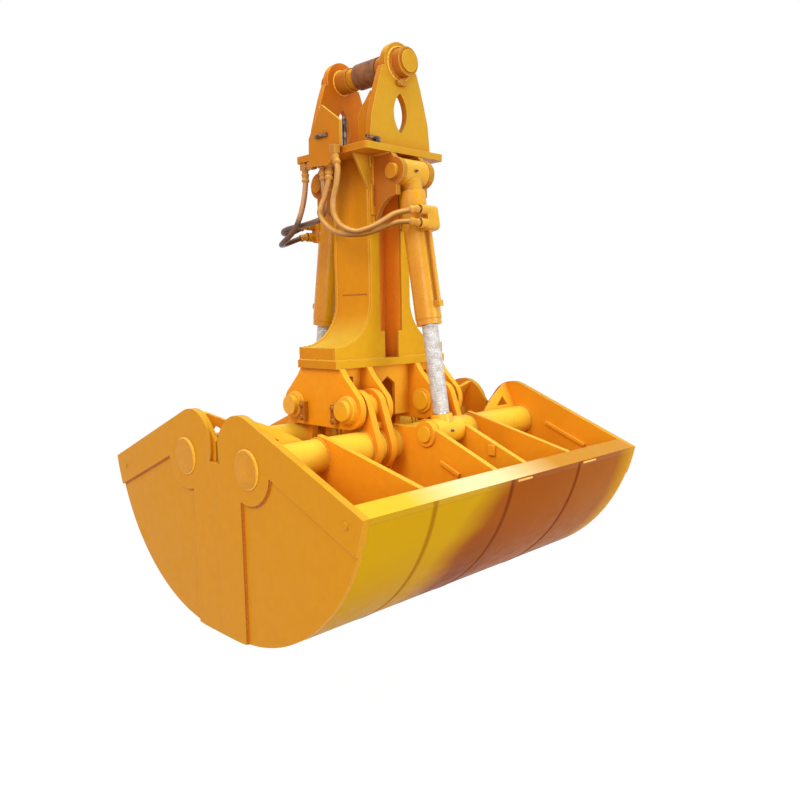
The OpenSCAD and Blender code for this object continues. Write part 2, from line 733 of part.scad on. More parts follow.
lock_bolt_l = 46;
lock_head_r = 10;
lock_head_l = 8;
lock_lug_h = 22;
lock_lug_w = 22;
module lock_bolts() hang() both_y() {
    bolt_z = hanger_z - collar_foot_r - lock_lug_h / 2;
    bolt_y = ear_out_y + lock_head_r;
    difference() {
        translate([-lock_lug_w / 2, ear_out_y, bolt_z - lock_lug_h / 2])
            cube([lock_lug_w, 2 * lock_head_r, lock_lug_h]);
        bar_x(-lock_lug_w, lock_lug_w, [bolt_y, bolt_z], lock_bolt_r + weld_gap, small);
    }
    bar_x(-lock_bolt_l / 2, lock_bolt_l / 2, [bolt_y, bolt_z], lock_bolt_r, small);
    both_x() difference() {
        bar_x(lock_lug_w / 2, lock_lug_w / 2 + lock_head_l, [bolt_y, bolt_z], lock_head_r, 6);
        bar_x(0, lock_lug_w, [bolt_y, bolt_z], lock_bolt_r + weld_gap, small);
    }
}

module pin_keepers() color(dark_steel) {
    pivot_keepers();
    lock_bolts();
}

// Hose bracket, in Y and Z, as shares of the head plate's half side
bracket_shares = [[0.117, 0.79], [-0.376, 0.449], [-0.376, 0], [-0.01, -0.288], [0.517, -0.249],
    [0.50, 0.25]];
hose_plate_t = 12;
hose_plate_x = -head_half - hose_plate_t;
module hose_bracket() color(paint) hang() plate_x(hose_plate_x, hose_plate_t)
    polygon([for (s = bracket_shares) [s[0] * head_half, head_z + s[1] * head_half]]);

// Couplings with threaded mouths, one along the bracket plate and one beside the near ear
plate_coupling_y = -12;
plate_coupling_up = 51;
ear_coupling_x = -120;
ear_coupling_y = -ear_out_y - coupling_r - weld_gap;
ear_coupling_up = 21;
saddle_w = 24;
stub_in = 29;
stub_y = -60;
module coupling() difference() {
    cylinder(h = coupling_l, r = coupling_r, $fn = small);
    translate([0, 0, coupling_l - thread_l]) cylinder(h = thread_l + overrun, r = thread_r, $fn = small);
}
module supply_couplings() color(dark_steel) at_head() {
    translate([hose_plate_x - coupling_r, plate_coupling_y, plate_coupling_up])
        rotate([-90, 0, 0]) coupling();
    translate([ear_coupling_x, ear_coupling_y, ear_coupling_up]) rotate([0, -90, 0]) coupling();
    translate([ear_coupling_x - saddle_w, ear_coupling_y - coupling_r, 0]) difference() {
        cube([saddle_w, 2 * coupling_r, ear_coupling_up]);
        bar_x(-overrun, saddle_w + overrun, [coupling_r, ear_coupling_up], coupling_r + weld_gap, small);
    }
    translate([stub_in - head_half, stub_y, 0]) difference() {
        cylinder(h = stub_h, r = stub_r, $fn = small);
        translate([0, 0, stub_h / 2]) cylinder(h = stub_h, r = stub_bore_r, $fn = small);
    }
}

// Lugs and head pins of the cylinders
lug_cut_r = 116;
lug_cut_drop = 201;
lug_cut_out = 12;
module lug_outline() {
    corner_y = head_pin_y - lug_r / 4;
    difference() {
        polygon([[column_y, head_low_z], [corner_y, head_low_z], [head_pin_y + lug_r, head_pin_z],
            [head_pin_y + lug_cut_out, head_pin_z - lug_cut_drop],
            [column_y, head_pin_z - lug_cut_drop]]);
        translate([head_pin_y + lug_cut_out, head_pin_z - lug_cut_drop])
            circle(lug_cut_r, $fn = medium);
        translate([head_pin_y + lug_cut_out, head_pin_z - lug_cut_drop])
            square([lug_cut_r, lug_cut_drop - lug_r / 2]);
    }
    translate(head_pin) circle(lug_r, $fn = medium);
}
module cylinder_lugs() color(paint) hang() both_y() both_x() difference() {
    plate_x(lug_in_x, lug_t) lug_outline();
    bar_x(lug_in_x - overrun, lug_out_x + overrun, head_pin, head_pin_r + weld_gap);
}
head_pin_nose = 18;
module cylinder_head_pins() color(paint_light) hang() both_y()
    bar_x(-lug_out_x - head_pin_nose, lug_out_x + head_pin_nose, head_pin, head_pin_r);

// A cylinder stands along its own axis, from the head pin down to the rod pin
module cylinder_frame() hang() translate([0, head_pin_y, head_pin_z]) rotate([tilt, 0, 0]) children();
// A round bar down the cylinder's axis, between two distances from the head pin
module down(d1, d2, r, fn = fine) translate([0, 0, -d2]) cylinder(h = d2 - d1, r = r, $fn = fn);
module eye_bar(half, r) rotate([0, 90, 0]) cylinder(h = 2 * half, r = r, center = true, $fn = medium);
bore_top = barrel_top + barrel_r / 2;
module barrel() color(paint) cylinder_frame() difference() {
    union() {
        eye_bar(head_eye_half, eye_r);
        down(eye_r / 2, barrel_top + overrun, neck_r);
        down(barrel_top, barrel_end, barrel_r);
    }
    eye_bar(head_eye_half + overrun, head_pin_r + run_gap);
    down(bore_top, barrel_end + overrun, bore_r);
}
gland_end = barrel_end + gland_l;
module gland() color(paint_light) cylinder_frame() difference() {
    union() {
        down(barrel_end, gland_end, barrel_r - cheek_inset);
        down(barrel_end - gland_in, barrel_end + overrun, bore_r - weld_gap);
    }
    down(barrel_end - gland_in - overrun, gland_end + overrun, rod_r + run_gap);
}
rod_top = barrel_end - gland_in - piston_l - overrun;
rod_bottom = pin_to_pin - eye_r - rod_neck_l;
module rod() color(bare_steel) cylinder_frame() {
    down(rod_top, rod_top + piston_l, bore_r - run_gap);
    down(rod_top + piston_l, rod_bottom, rod_r);
}
module rod_eye() color(paint_light) {
    cylinder_frame() translate([0, 0, -pin_to_pin]) difference() {
        union() {
            eye_bar(rod_eye_half, eye_r);
            cylinder(h = eye_r + rod_neck_l, r = neck_r, $fn = medium);
        }
        eye_bar(rod_eye_half + overrun, rod_pin_r + run_gap);
    }
    hang() bar_x(-rod_eye_half, rod_eye_half, rod_pin, rod_pin_r);
}

// Port block on the outer side of a barrel, with its hose sleeves and the oil pipe to the gland
block_half_x = 30;
block_sink = 3;
block_proud = 42;
block_in = barrel_r - block_sink;
block_out = barrel_r + block_proud;
sleeve_l = 34;
sleeve_r = 19;
sleeve_gap = 3.5;
block_margin = 22;
block_round = 18;
// Distance of a port from the head pin, along the cylinder's axis
function port_down(drop) = drop * cos(tilt) + (port_y - head_pin_y) * sin(tilt);
block_top = port_down(upper_port_drop) - block_margin;
block_end = port_down(lower_port_drop) + block_margin;
upper_port = -head_pin_drop - upper_port_drop;
lower_port = -head_pin_drop - lower_port_drop;
boss_end = barrel_end - barrel_r;
boss_half = 11;
pipe_gap = 6;
pipe_off = barrel_r + oil_pipe_r + pipe_gap;
module block_outline() {
    height = block_end - block_top;
    translate([block_in, -block_end]) square([block_out - block_in - block_round, height]);
    translate([block_in, block_round - block_end])
        square([block_out - block_in, height - 2 * block_round]);
    for (z = [block_round - block_end, -block_top - block_round])
        translate([block_out - block_round, z]) circle(block_round, $fn = small);
}
module port_block() color(paint) {
    difference() {
        union() {
            cylinder_frame() {
                plate_x(-block_half_x, 2 * block_half_x) block_outline();
                translate([0, pipe_off, 0]) down(block_end - overrun, boss_end, oil_pipe_r, small);
                translate([-boss_half, block_in, -boss_end - boss_half])
                    cube([2 * boss_half, pipe_off + boss_half - block_in, 2 * boss_half]);
            }
            at_head() for (z = [upper_port, lower_port])
                bar_x(-block_half_x - sleeve_l, -block_half_x + overrun, [port_y, z], sleeve_r, small);
        }
        at_head() for (z = [upper_port, lower_port])
            bar_x(-block_half_x - sleeve_l - overrun, -block_half_x, [port_y, z],
                hose_r + sleeve_gap, small);
        cylinder_frame() down(block_top - overrun, boss_end + 2 * boss_half, barrel_r + weld_gap);
    }
}

// Hose fittings at the bracket: a body on the plate, a leg, and the mouth where the hose starts
fitting_r = 13;
leg_r = 9;
leg_out = 19;
inner_leg_x = leg_out - head_half;
near_upper_start = [hose_plate_x - leg_out, -70, -35];
near_lower_start = [inner_leg_x, 25, -70];
far_upper_start = [inner_leg_x, 62, -70];
far_lower_start = [inner_leg_x, 172, -63];
fitting_top = -13;
elbow_half = 14;
elbow_in = elbow_half - overrun;
elbow_level = -head_t - elbow_half - weld_gap;
elbow_reach_y = 128;
module elbow(p) translate(p) cube(2 * elbow_half, center = true);
module hose_fittings() color(paint_deep) at_head() {
    a = near_upper_start;
    bar_x(a[0] + elbow_in, hose_plate_x, [a[1], fitting_top], leg_r, small);
    elbow([a[0], a[1], fitting_top]);
    translate(a) cylinder(h = fitting_r, r = fitting_r, $fn = small);
    for (s = [near_lower_start, far_upper_start]) {
        translate(s) cylinder(h = -head_t - s[2] - weld_gap, r = leg_r, $fn = small);
        translate(s) cylinder(h = fitting_r, r = fitting_r, $fn = small);
        bar_x(-head_half, s[0] - elbow_in, [s[1], s[2] + 2 * fitting_r], leg_r, small);
        elbow([s[0], s[1], s[2] + 2 * fitting_r]);
    }
    c = far_lower_start;
    bar_y(c[0], elbow_level, elbow_reach_y + elbow_in, c[1] - elbow_in, leg_r, small);
    elbow([c[0], c[1], elbow_level]);
    elbow([c[0], elbow_reach_y, elbow_level]);
    translate(c) cylinder(h = fitting_r, r = fitting_r, $fn = small);
    bar_x(-head_half, c[0] - elbow_in, [elbow_reach_y, elbow_level], leg_r, small);
}

// Routes of the hoses, from the bracket to the sleeves, the first stretch given from the start's X
function below(start, stretch) = [for (p = stretch) [start[0] + p[0], p[1], p[2]]];
near_upper_route = concat([near_upper_start],
    below(near_upper_start, [[-1, -87, -85], [-4, -80, -145], [-9, -66, -200], [-9, -72, -255]]),
    [[-237, -101, -296], [-209, -151, -316], [-172, -213, -296], [-128, -258, -261], [-98, -302, -249],
    [-72, -326, -246], [-56, -port_y, upper_port], [-33, -port_y, upper_port]]);
near_lower_route = concat([near_lower_start],
    below(near_lower_start, [[-3, 26, -115], [-12, 42, -175], [-28, 53, -232], [-22, 12, -286]]),
    [[-208, -50, -314], [-196, -110, -324], [-170, -165, -321], [-138, -211, -304], [-110, -266, -287],
    [-88, -314, -288], [-70, -328, lower_port], [-33, -port_y, lower_port]]);
far_upper_route = concat([far_upper_start],
    below(far_upper_start, [[2, 62, -115], [7, 63, -165], [9, 67, -210], [10, 92, -245], [9, 135, -255]]),
    [[-184, 190, -262], [-190, 240, -266], [-197, 285, -271], [-196, 318, -278], [-174, 343, -284],
    [-138, 350, -279], [-104, 341, -264], [-80, 332, -249], [-56, port_y, upper_port],
    [-33, port_y, upper_port]]);
far_lower_route = concat([far_lower_start],
    below(far_lower_start, [[0, 172, -105], [-8, 176, -170], [-20, 190, -235], [-28, 222, -287]]),
    [[-224, 272, -319], [-210, 318, -333], [-172, 342, -327], [-130, 341, -312], [-92, 333, -298],
    [-60, port_y, lower_port], [-33, port_y, lower_port]]);
hose_sides = 10;
first_side = [0, 1, 0.2];

// A smooth curve through a route's points
function at(p, i) = p[max(0, min(len(p) - 1, i))];
function blend(a, b, c, d, t) = 0.5 * ((2 * b) + (c - a) * t + (2 * a - 5 * b + 4 * c - d) * t * t
    + (3 * b - a - 3 * c + d) * t * t * t);
function smooth(p, steps) = concat([for (i = [0:len(p) - 2]) for (s = [0:steps - 1])
    blend(at(p, i - 1), p[i], p[i + 1], at(p, i + 2), s / steps)], [p[len(p) - 1]]);
function unit(v) = v / norm(v);
// Every hose leaves its fitting straight down and enters its sleeve to the right
function heading(p, i) = i == 0 ? [0, 0, -1] : i == len(p) - 1 ? [1, 0, 0] : unit(p[i + 1] - p[i - 1]);
// Side vectors carried along the route, so that the tube doesn't twist
function carry(side, dir) = unit(side - (side * dir) * dir);
function sides(p, i = 0, last = [0, 1, 0]) = i == len(p) ? [] :
    let (s = carry(last, heading(p, i))) concat([s], sides(p, i + 1, s));
module tube(route, r) {
    p = smooth(route, 2);
    side = sides(p, 0, first_side);
    n = len(p);
    ring = [for (i = [0:n - 1]) for (k = [0:hose_sides - 1])
        let (a = 360 * k / hose_sides, s = side[i], q = cross(heading(p, i), s))
        p[i] + r * (cos(a) * s + sin(a) * q)];
    wall = [for (i = [0:n - 2]) for (k = [0:hose_sides - 1])
        let (m = (k + 1) % hose_sides, b = i * hose_sides)
        [b + m, b + k, b + hose_sides + k, b + hose_sides + m]];
    start_cap = [for (k = [0:hose_sides - 1]) k];
    end_cap = [for (k = [hose_sides - 1:-1:0]) (n - 1) * hose_sides + k];
    polyhedron(points = ring, faces = concat([start_cap, end_cap], wall), convexity = 8);
}
module near_upper_hose() color(hose_tan) at_head() tube(near_upper_route, hose_r);
module near_lower_hose() color(hose_tan) at_head() tube(near_lower_route, hose_r);
module far_upper_hose() color(hose_tan) at_head() tube(far_upper_route, hose_r);
module far_lower_hose() color(hose_tan) at_head() tube(far_lower_route, hose_r);

head_plate();
hanger_ear_near();
hanger_ear_far();
ear_bosses();
hanger_pin();
pin_sleeve();
hose_bracket();
supply_couplings();
hose_fittings();
column_left_cheek();
column_right_cheek();
column_face_plates();
column_web();
column_foot();
head_gussets();
cylinder_lugs();
cylinder_head_pins();
bracket_outer_plates();
bracket_inner_plates();
bracket_webs();
jaw_pivot_pins();
pin_keepers();
near_upper_hose();
near_lower_hose();
far_upper_hose();
far_lower_hose();
near_side() end_plate(-1);  // near_end_plate_left
near_side() end_plate(1);  // near_end_plate_right
near_side() end_doublers();  // near_end_doublers
near_side() shell_plate();  // near_shell_plate
near_side() cutting_edge();  // near_cutting_edge
near_side() lip_bar();  // near_lip_bar
near_side() torque_tube();  // near_torque_tube
near_side() ribs();  // near_ribs
near_side() arms();  // near_arms
near_side() pivot_bushes();  // near_pivot_bushes
near_side() stiffeners();  // near_stiffeners
near_side() rod_pin_ends();  // near_rod_pin_ends
end_plate(-1);  // far_end_plate_left
end_plate(1);  // far_end_plate_right
end_doublers();  // far_end_doublers
shell_plate();  // far_shell_plate
cutting_edge();  // far_cutting_edge
lip_bar();  // far_lip_bar
torque_tube();  // far_torque_tube
ribs();  // far_ribs
arms();  // far_arms
pivot_bushes();  // far_pivot_bushes
stiffeners();  // far_stiffeners
rod_pin_ends();  // far_rod_pin_ends
near_side() barrel();  // near_barrel
near_side() gland();  // near_gland
near_side() port_block();  // near_port_block
near_side() rod();  // near_rod
near_side() rod_eye();  // near_rod_eye
barrel();  // far_barrel
gland();  // far_gland
port_block();  // far_port_block
rod();  // far_rod
rod_eye();  // far_rod_eye
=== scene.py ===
# %% [markdown]
# # A hydraulic clamshell bucket
# The solids of this bucket come from CAD, already packed, and stay where they are. This lesson dresses them:
# it sets up the camera and the studio, lays the hoses, paints the steel with painted light and shade in its
# colours, and adds what a welder leaves behind. All sizes are in metres, and the origin is the centre of the
# hanger pin.

# %% Load the imported model
import math
import bmesh
import bpy
from mathutils import Matrix, Vector


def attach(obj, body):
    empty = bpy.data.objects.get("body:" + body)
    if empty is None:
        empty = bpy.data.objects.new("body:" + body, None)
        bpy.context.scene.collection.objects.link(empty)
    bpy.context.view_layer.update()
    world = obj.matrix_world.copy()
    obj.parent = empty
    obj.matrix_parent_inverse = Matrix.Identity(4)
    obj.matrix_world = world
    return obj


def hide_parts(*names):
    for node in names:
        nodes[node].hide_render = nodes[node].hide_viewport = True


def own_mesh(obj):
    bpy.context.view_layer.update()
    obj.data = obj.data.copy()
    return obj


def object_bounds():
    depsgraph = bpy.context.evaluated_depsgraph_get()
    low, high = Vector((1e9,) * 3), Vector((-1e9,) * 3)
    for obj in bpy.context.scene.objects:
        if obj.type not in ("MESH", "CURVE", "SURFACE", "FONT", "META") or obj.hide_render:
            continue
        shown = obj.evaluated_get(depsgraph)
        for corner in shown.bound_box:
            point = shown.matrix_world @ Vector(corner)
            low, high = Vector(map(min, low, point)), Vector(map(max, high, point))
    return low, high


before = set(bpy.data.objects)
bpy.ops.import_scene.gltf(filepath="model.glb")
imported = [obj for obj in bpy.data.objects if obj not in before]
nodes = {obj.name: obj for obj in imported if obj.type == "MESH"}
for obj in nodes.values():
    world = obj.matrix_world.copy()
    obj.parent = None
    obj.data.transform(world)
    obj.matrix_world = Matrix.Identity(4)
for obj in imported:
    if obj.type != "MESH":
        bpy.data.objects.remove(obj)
cad_box = [list(corner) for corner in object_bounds()]
scene = bpy.context.scene

# %% [markdown]
# ## Heights
# The drawing measures heights up from the bucket's lowest point, in millimetres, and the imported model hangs
# from its pin. One helper turns a drawing point into a scene point, so that the numbers stay the drawing's.

# %% From the drawing to the scene
HANGER_HEIGHT = 2045


def drawn(x, y, z):
    """A point of the drawing, in millimetres above the bucket's bottom, as a point of the scene."""
    return Vector((x, y, z - HANGER_HEIGHT)) / 1000


def new_object(name, data):
    """An object that shows a mesh, a curve, a lamp or a camera, placed in the scene."""
    made = bpy.data.objects.new(name, data)
    scene.collection.objects.link(made)
    return made


print("the bucket's bottom is at", round(drawn(0, 0, 0).z, 3))

# %% [markdown]
# ## Camera
# The photograph was matched with a pinhole camera about 3.1 m away, a little above the bucket's middle and
# looking slightly down. A matrix from its three directions places it exactly, with no aiming by hand.

# %% The camera of the photograph
IMAGE_SIDE = 800
FOCAL_PIXELS = 769
camera_data = bpy.data.cameras.new("photo_camera")
camera_data.sensor_width = 36
camera_data.lens = FOCAL_PIXELS * camera_data.sensor_width / IMAGE_SIDE
camera_data.clip_end = 100
camera = new_object("photo_camera", camera_data)
CAMERA_PLACE = (-2139.25, -2306.83, 1122.13)
camera_right = Vector((0.708816, -0.705158, -0.018083))
camera_up = Vector((0.093666, 0.068680, 0.993222))
camera_back = camera_right.cross(camera_up)
turn = Matrix((camera_right, camera_up, camera_back)).transposed().to_4x4()
camera.matrix_world = Matrix.Translation(drawn(*CAMERA_PLACE)) @ turn
scene.camera = camera
print("lens", round(camera_data.lens, 2), "mm")

# %% [markdown]
# ## Hoses
# Four hydraulic hoses run from fittings under the head plate to the cylinders. They are stiff, so each keeps
# one wide loop. A Bezier curve through the drawn route gives the same smooth line as the solid tube that it
# stands for, if each handle is a sixth of the way between the neighbouring points.

# %% Routes of the hoses, in the drawing's millimetres
HOSE_RADIUS = 0.011
ROUTE_PIECES, FINE_PIECES = 2, 6
HANDLE_PART = 6
hose_routes = {
    "near_upper_hose": [(-240, -70, 1700), (-241, -87, 1650), (-244, -80, 1590), (-249, -66, 1535),
        (-249, -72, 1480), (-237, -101, 1439), (-209, -151, 1419), (-172, -213, 1439),
        (-128, -258, 1474), (-98, -302, 1486), (-72, -326, 1489), (-56, -330, 1490), (-33, -330, 1490)],
    "near_lower_hose": [(-190, 25, 1665), (-193, 26, 1620), (-202, 42, 1560), (-218, 53, 1503),
        (-212, 12, 1449), (-208, -50, 1421), (-196, -110, 1411), (-170, -165, 1414),
        (-138, -211, 1431), (-110, -266, 1448), (-88, -314, 1447), (-70, -328, 1442), (-33, -330, 1442)],
    "far_upper_hose": [(-190, 62, 1665), (-188, 62, 1620), (-183, 63, 1570), (-181, 67, 1525),
        (-180, 92, 1490), (-181, 135, 1480), (-184, 190, 1473), (-190, 240, 1469), (-197, 285, 1464),
        (-196, 318, 1457), (-174, 343, 1451), (-138, 350, 1456), (-104, 341, 1471), (-80, 332, 1486),
        (-56, 330, 1490), (-33, 330, 1490)],
    "far_lower_hose": [(-190, 172, 1672), (-190, 172, 1630), (-198, 176, 1565), (-210, 190, 1500),
        (-218, 222, 1448), (-224, 272, 1416), (-210, 318, 1402), (-172, 342, 1408),
        (-130, 341, 1423), (-92, 333, 1437), (-60, 330, 1442), (-33, 330, 1442)],
}
print("hoses:", ", ".join(hose_routes))


# %% A smooth line through a route
def smooth_line(points, steps):
    """Points of the curve that passes through every given point, with steps pieces between two of them."""
    last = len(points) - 1
    line = []
    for i in range(last):
        a, b, c, d = (points[max(0, min(last, k))] for k in (i - 1, i, i + 1, i + 2))
        for s in range(steps):
            t = s / steps
            line.append(0.5 * (2 * b + (c - a) * t + (2 * a - 5 * b + 4 * c - d) * t * t
                + (3 * b - a - 3 * c + d) * t ** 3))
    return line + [points[last]]


# %% Lay the hoses
def lay_hose(name, route):
    """One hose as a curve of one spline on the frame, which hides the solid hose that it stands for."""
    line = smooth_line([drawn(*p) for p in route], ROUTE_PIECES)
    curve = bpy.data.curves.new(name + "_laid", "CURVE")
    curve.dimensions = "3D"
    curve.bevel_depth = HOSE_RADIUS
    curve.bevel_resolution = 4
    curve.resolution_u = FINE_PIECES
    curve.use_fill_caps = True
    spline = curve.splines.new("BEZIER")
    spline.bezier_points.add(len(line) - 1)
    for i, point in enumerate(spline.bezier_points):
        reach = (line[min(i + 1, len(line) - 1)] - line[max(i - 1, 0)]) / HANDLE_PART
        point.co = line[i]
        point.handle_left, point.handle_right = line[i] - reach, line[i] + reach
    hose = new_object(name + "_laid", curve)
    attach(hose, "frame")
    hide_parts(name)
    return hose


hoses = [lay_hose(name, route) for name, route in hose_routes.items()]

# %% [markdown]
# ## Studio
# The photograph is cut out on plain white, and its light is soft, from high on the left and from the front.
# The world is white to the camera, to mirrors and to glass, and much dimmer as a light. The floor is plain
# and pale. Most of it is plain white to the camera too, so that it meets the backdrop without an edge, and
# the rest keeps a faint shadow of the bucket.


# %% Small helpers for node trees
def add(tree, kind, inputs=None, **settings):
    """A new node, with its settings and with values or other nodes' outputs on its inputs."""
    made = tree.nodes.new(kind)
    for name, value in settings.items():
        setattr(made, name, value)
    for key, value in (inputs or {}).items():
        if isinstance(value, bpy.types.NodeSocket):
            tree.links.new(value, made.inputs[key])
        else:
            made.inputs[key].default_value = value
    return made


def calc(tree, operation, a, b=0.0, clamp=False):
    """The output of one math node."""
    return add(tree, "ShaderNodeMath", {0: a, 1: b}, operation=operation, use_clamp=clamp).outputs[0]


def plus(tree, a, b, clamp=False):
    """a + b as a node."""
    return calc(tree, "ADD", a, b, clamp)


def minus(tree, a, b, clamp=False):
    """a - b as a node."""
    return calc(tree, "SUBTRACT", a, b, clamp)


def times(tree, a, b):
    """a * b as a node."""
    return calc(tree, "MULTIPLY", a, b)


def painted(red, green, blue):
    """A colour as read off a screen, from 0 to 255, as the linear colour that a shader takes."""
    def linear(c):
        c /= 255
        return c / 12.92 if c <= 0.04045 else ((c + 0.055) / 1.055) ** 2.4
    return linear(red), linear(green), linear(blue), 1.0


def new_material(name):
    """A material without nodes, and its tree."""
    material = bpy.data.materials.new(name)
    material.use_nodes = True
    material.node_tree.nodes.clear()
    return material, material.node_tree


def show(tree, shader):
    """Makes a shader what the material's surface shows."""
    add(tree, "ShaderNodeOutputMaterial", {"Surface": shader.outputs[0]})


# %% What the eye sees directly, in a mirror or through glass
def shown(tree):
    """1 for a ray that shows the backdrop itself, 0 for one that only collects light."""
    path = add(tree, "ShaderNodeLightPath").outputs
    mirrored = calc(tree, "MAXIMUM", path["Is Glossy Ray"], path["Is Transmission Ray"])
    return calc(tree, "MAXIMUM", path["Is Camera Ray"], mirrored)


# %% World
world = bpy.data.worlds.new("studio_world")
scene.world = world
world.use_nodes = True
sky = world.node_tree
sky.nodes.clear()
WORLD_LIGHT = 0.42
strength = plus(sky, times(sky, shown(sky), 1 - WORLD_LIGHT), WORLD_LIGHT)
glow = add(sky, "ShaderNodeBackground", {"Color": (1, 1, 1, 1), "Strength": strength})
add(sky, "ShaderNodeOutputWorld", {"Surface": glow.outputs[0]})
print("world light", WORLD_LIGHT)

# %% Floor
FLOOR_DROP = 0.45
FLOOR_HALF = 30
FLOOR_WHITE, FLOOR_GLOW = 0.97, 1.02
FLOOR_GREY = (0.8, 0.8, 0.8, 1)
floor_mesh = bpy.data.meshes.new("floor")
floor_z = cad_box[0][2] - FLOOR_DROP
floor_corners = ((-1, -1), (1, -1), (1, 1), (-1, 1))
floor_mesh.from_pydata([(x * FLOOR_HALF, y * FLOOR_HALF, floor_z) for x, y in floor_corners], [],
    [(0, 1, 2, 3)])
floor = new_object("floor", floor_mesh)
floor_paint, tree = new_material("pale_floor")
matt = add(tree, "ShaderNodeBsdfDiffuse", {"Color": FLOOR_GREY})
white = add(tree, "ShaderNodeEmission", {"Color": (1, 1, 1, 1), "Strength": FLOOR_GLOW})
show(tree, add(tree, "ShaderNodeMixShader", {0: times(tree, shown(tree), FLOOR_WHITE),
    1: matt.outputs[0], 2: white.outputs[0]}))
floor_mesh.materials.append(floor_paint)
scene.view_settings.view_transform = "Standard"
print("floor at", round(floor_z, 3))

# %% [markdown]
# The photograph's shadows are faint, so the lamps are wide and stand far away. The one high on the left is
# the strongest. All four look at the middle of the bucket.

# %% Lamps
MIDDLE = Vector((0, 0, -1.2))
LAMP_SIDE = 4.0
LAMPS = {
    "high_left_lamp": ((-7.0, -1.0, 4.6), 390),
    "front_lamp": ((2.2, -8.0, -0.4), 260),
    "camera_side_lamp": ((-6.0, -6.4, 0.0), 170),
    "top_lamp": ((0.3, -0.6, 7.0), 330),
}
for name, (place, power) in LAMPS.items():
    lamp_data = bpy.data.lights.new(name, "AREA")
    lamp_data.energy = power
    lamp_data.size = LAMP_SIDE
    lamp = new_object(name, lamp_data)
    lamp.location = place
    lamp.rotation_euler = (MIDDLE - lamp.location).to_track_quat("-Z", "Y").to_euler()
print(len(LAMPS), "lamps")

# %% [markdown]
# ## Shared effects
# Sprayed enamel has a slight orange peel and a tone that drifts over a plate. Its edges are rounded and get a
# painted highlight, its inside corners get painted shade, and faces that look up get painted light. Each of
# these is a node group with named inputs, built once, so that every painted material can use it with its own
# values.

# %% A helper that starts a node group
SOCKETS = {"value": "NodeSocketFloat", "count": "NodeSocketInt", "colour": "NodeSocketColor",
    "vector": "NodeSocketVector", "geometry": "NodeSocketGeometry", "material": "NodeSocketMaterial"}


def new_group(name, inputs, outputs, tree_type="ShaderNodeTree"):
    """An empty node tree with named inputs (name: kind, value) and outputs (name: kind)."""
    group = bpy.data.node_groups.new(name, tree_type)
    for label, (kind, value) in inputs.items():
        socket = group.interface.new_socket(label, in_out="INPUT", socket_type=SOCKETS[kind])
        if value is not None:
            socket.default_value = value
    for label, kind in outputs.items():
        group.interface.new_socket(label, in_out="OUTPUT", socket_type=SOCKETS[kind])
    start = group.nodes.new("NodeGroupInput")
    end = group.nodes.new("NodeGroupOutput")
    return group, start.outputs, end.inputs


def feed(tree, output, socket):
    """Joins a node's output to a socket of the group's end."""
    tree.links.new(output, socket)


def noise(tree, scale, detail=3.0, roughness=0.5):
    """Noise on the object's own coordinates, in features per metre."""
    return add(tree, "ShaderNodeTexNoise",
        {"Vector": own(tree, "Object"), "Scale": scale, "Detail": detail, "Roughness": roughness}).outputs[0]


def spread(tree, value, low, high, to_low=0.0, to_high=1.0):
    """A value mapped from one range to another, and held inside it."""
    return add(tree, "ShaderNodeMapRange", {"Value": value, "From Min": low, "From Max": high,
        "To Min": to_low, "To Max": to_high}).outputs[0]


def mixed(tree, share, a, b):
    """Two colours mixed by a share."""
    return add(tree, "ShaderNodeMix", {0: share, 6: a, 7: b}, data_type="RGBA").outputs[2]


# %% Where a spot lies and which way it looks
def own(tree, output):
    """The object's own coordinates or normal, which stay with a piece when its body moves."""
    return add(tree, "ShaderNodeTexCoord").outputs[output]


def place_on(tree, axis):
    """The object coordinate along X, Y or Z."""
    return add(tree, "ShaderNodeSeparateXYZ", {0: own(tree, "Object")}).outputs[axis]


def turned_to(tree, axis):
    """The object's own normal along an axis: 1 for a face that looks that way, -1 for the opposite one."""
    return add(tree, "ShaderNodeSeparateXYZ", {0: own(tree, "Normal")}).outputs[axis]


def height_up(tree):
    """Height above the bucket's lowest point, in metres, as on the drawing."""
    return plus(tree, place_on(tree, "Z"), HANGER_HEIGHT / 1000)


# %% Sprayed enamel
enamel_group, given, made = new_group("sprayed_enamel",
    {"Full coat": ("colour", painted(240, 176, 40)), "Side shade": ("colour", painted(222, 146, 30)),
     "Drift": ("value", 0.35), "Roughness": ("value", 0.36)},
    {"Colour": "colour", "Roughness": "value", "Height": "value"})
tree = enamel_group
# Faces turned towards X and faces that look down get the side colour, as painted shade.
sideways = spread(tree, calc(tree, "ABSOLUTE", turned_to(tree, "X")), 0.25, 0.95)
under = spread(tree, turned_to(tree, "Z"), -0.2, -0.95)
drift = spread(tree, noise(tree, 2.2, 4.0, 0.55), 0.35, 0.70, -0.5, 0.5)
cloud = spread(tree, noise(tree, 11.0, 5.0, 0.6), 0.40, 0.72, -0.5, 0.5)
wander = times(tree, plus(tree, drift, times(tree, cloud, 0.5)), given["Drift"])
share = plus(tree, calc(tree, "MAXIMUM", sideways, under), wander, clamp=True)
coat = mixed(tree, share, given["Full coat"], given["Side shade"])
streak = spread(tree, noise(tree, 34.0, 4.0, 0.6), 0.35, 0.75, 0.0, 0.10)
feed(tree, mixed(tree, streak, coat, painted(150, 84, 10)), made["Colour"])
haze = spread(tree, noise(tree, 26.0, 3.0), 0.3, 0.7, -0.06, 0.09)
feed(tree, plus(tree, given["Roughness"], haze), made["Roughness"])
peel = noise(tree, 420.0, 2.0)
dent = noise(tree, 7.0, 2.0)
feed(tree, plus(tree, times(tree, peel, 0.10), dent), made["Height"])
print("group", enamel_group.name)
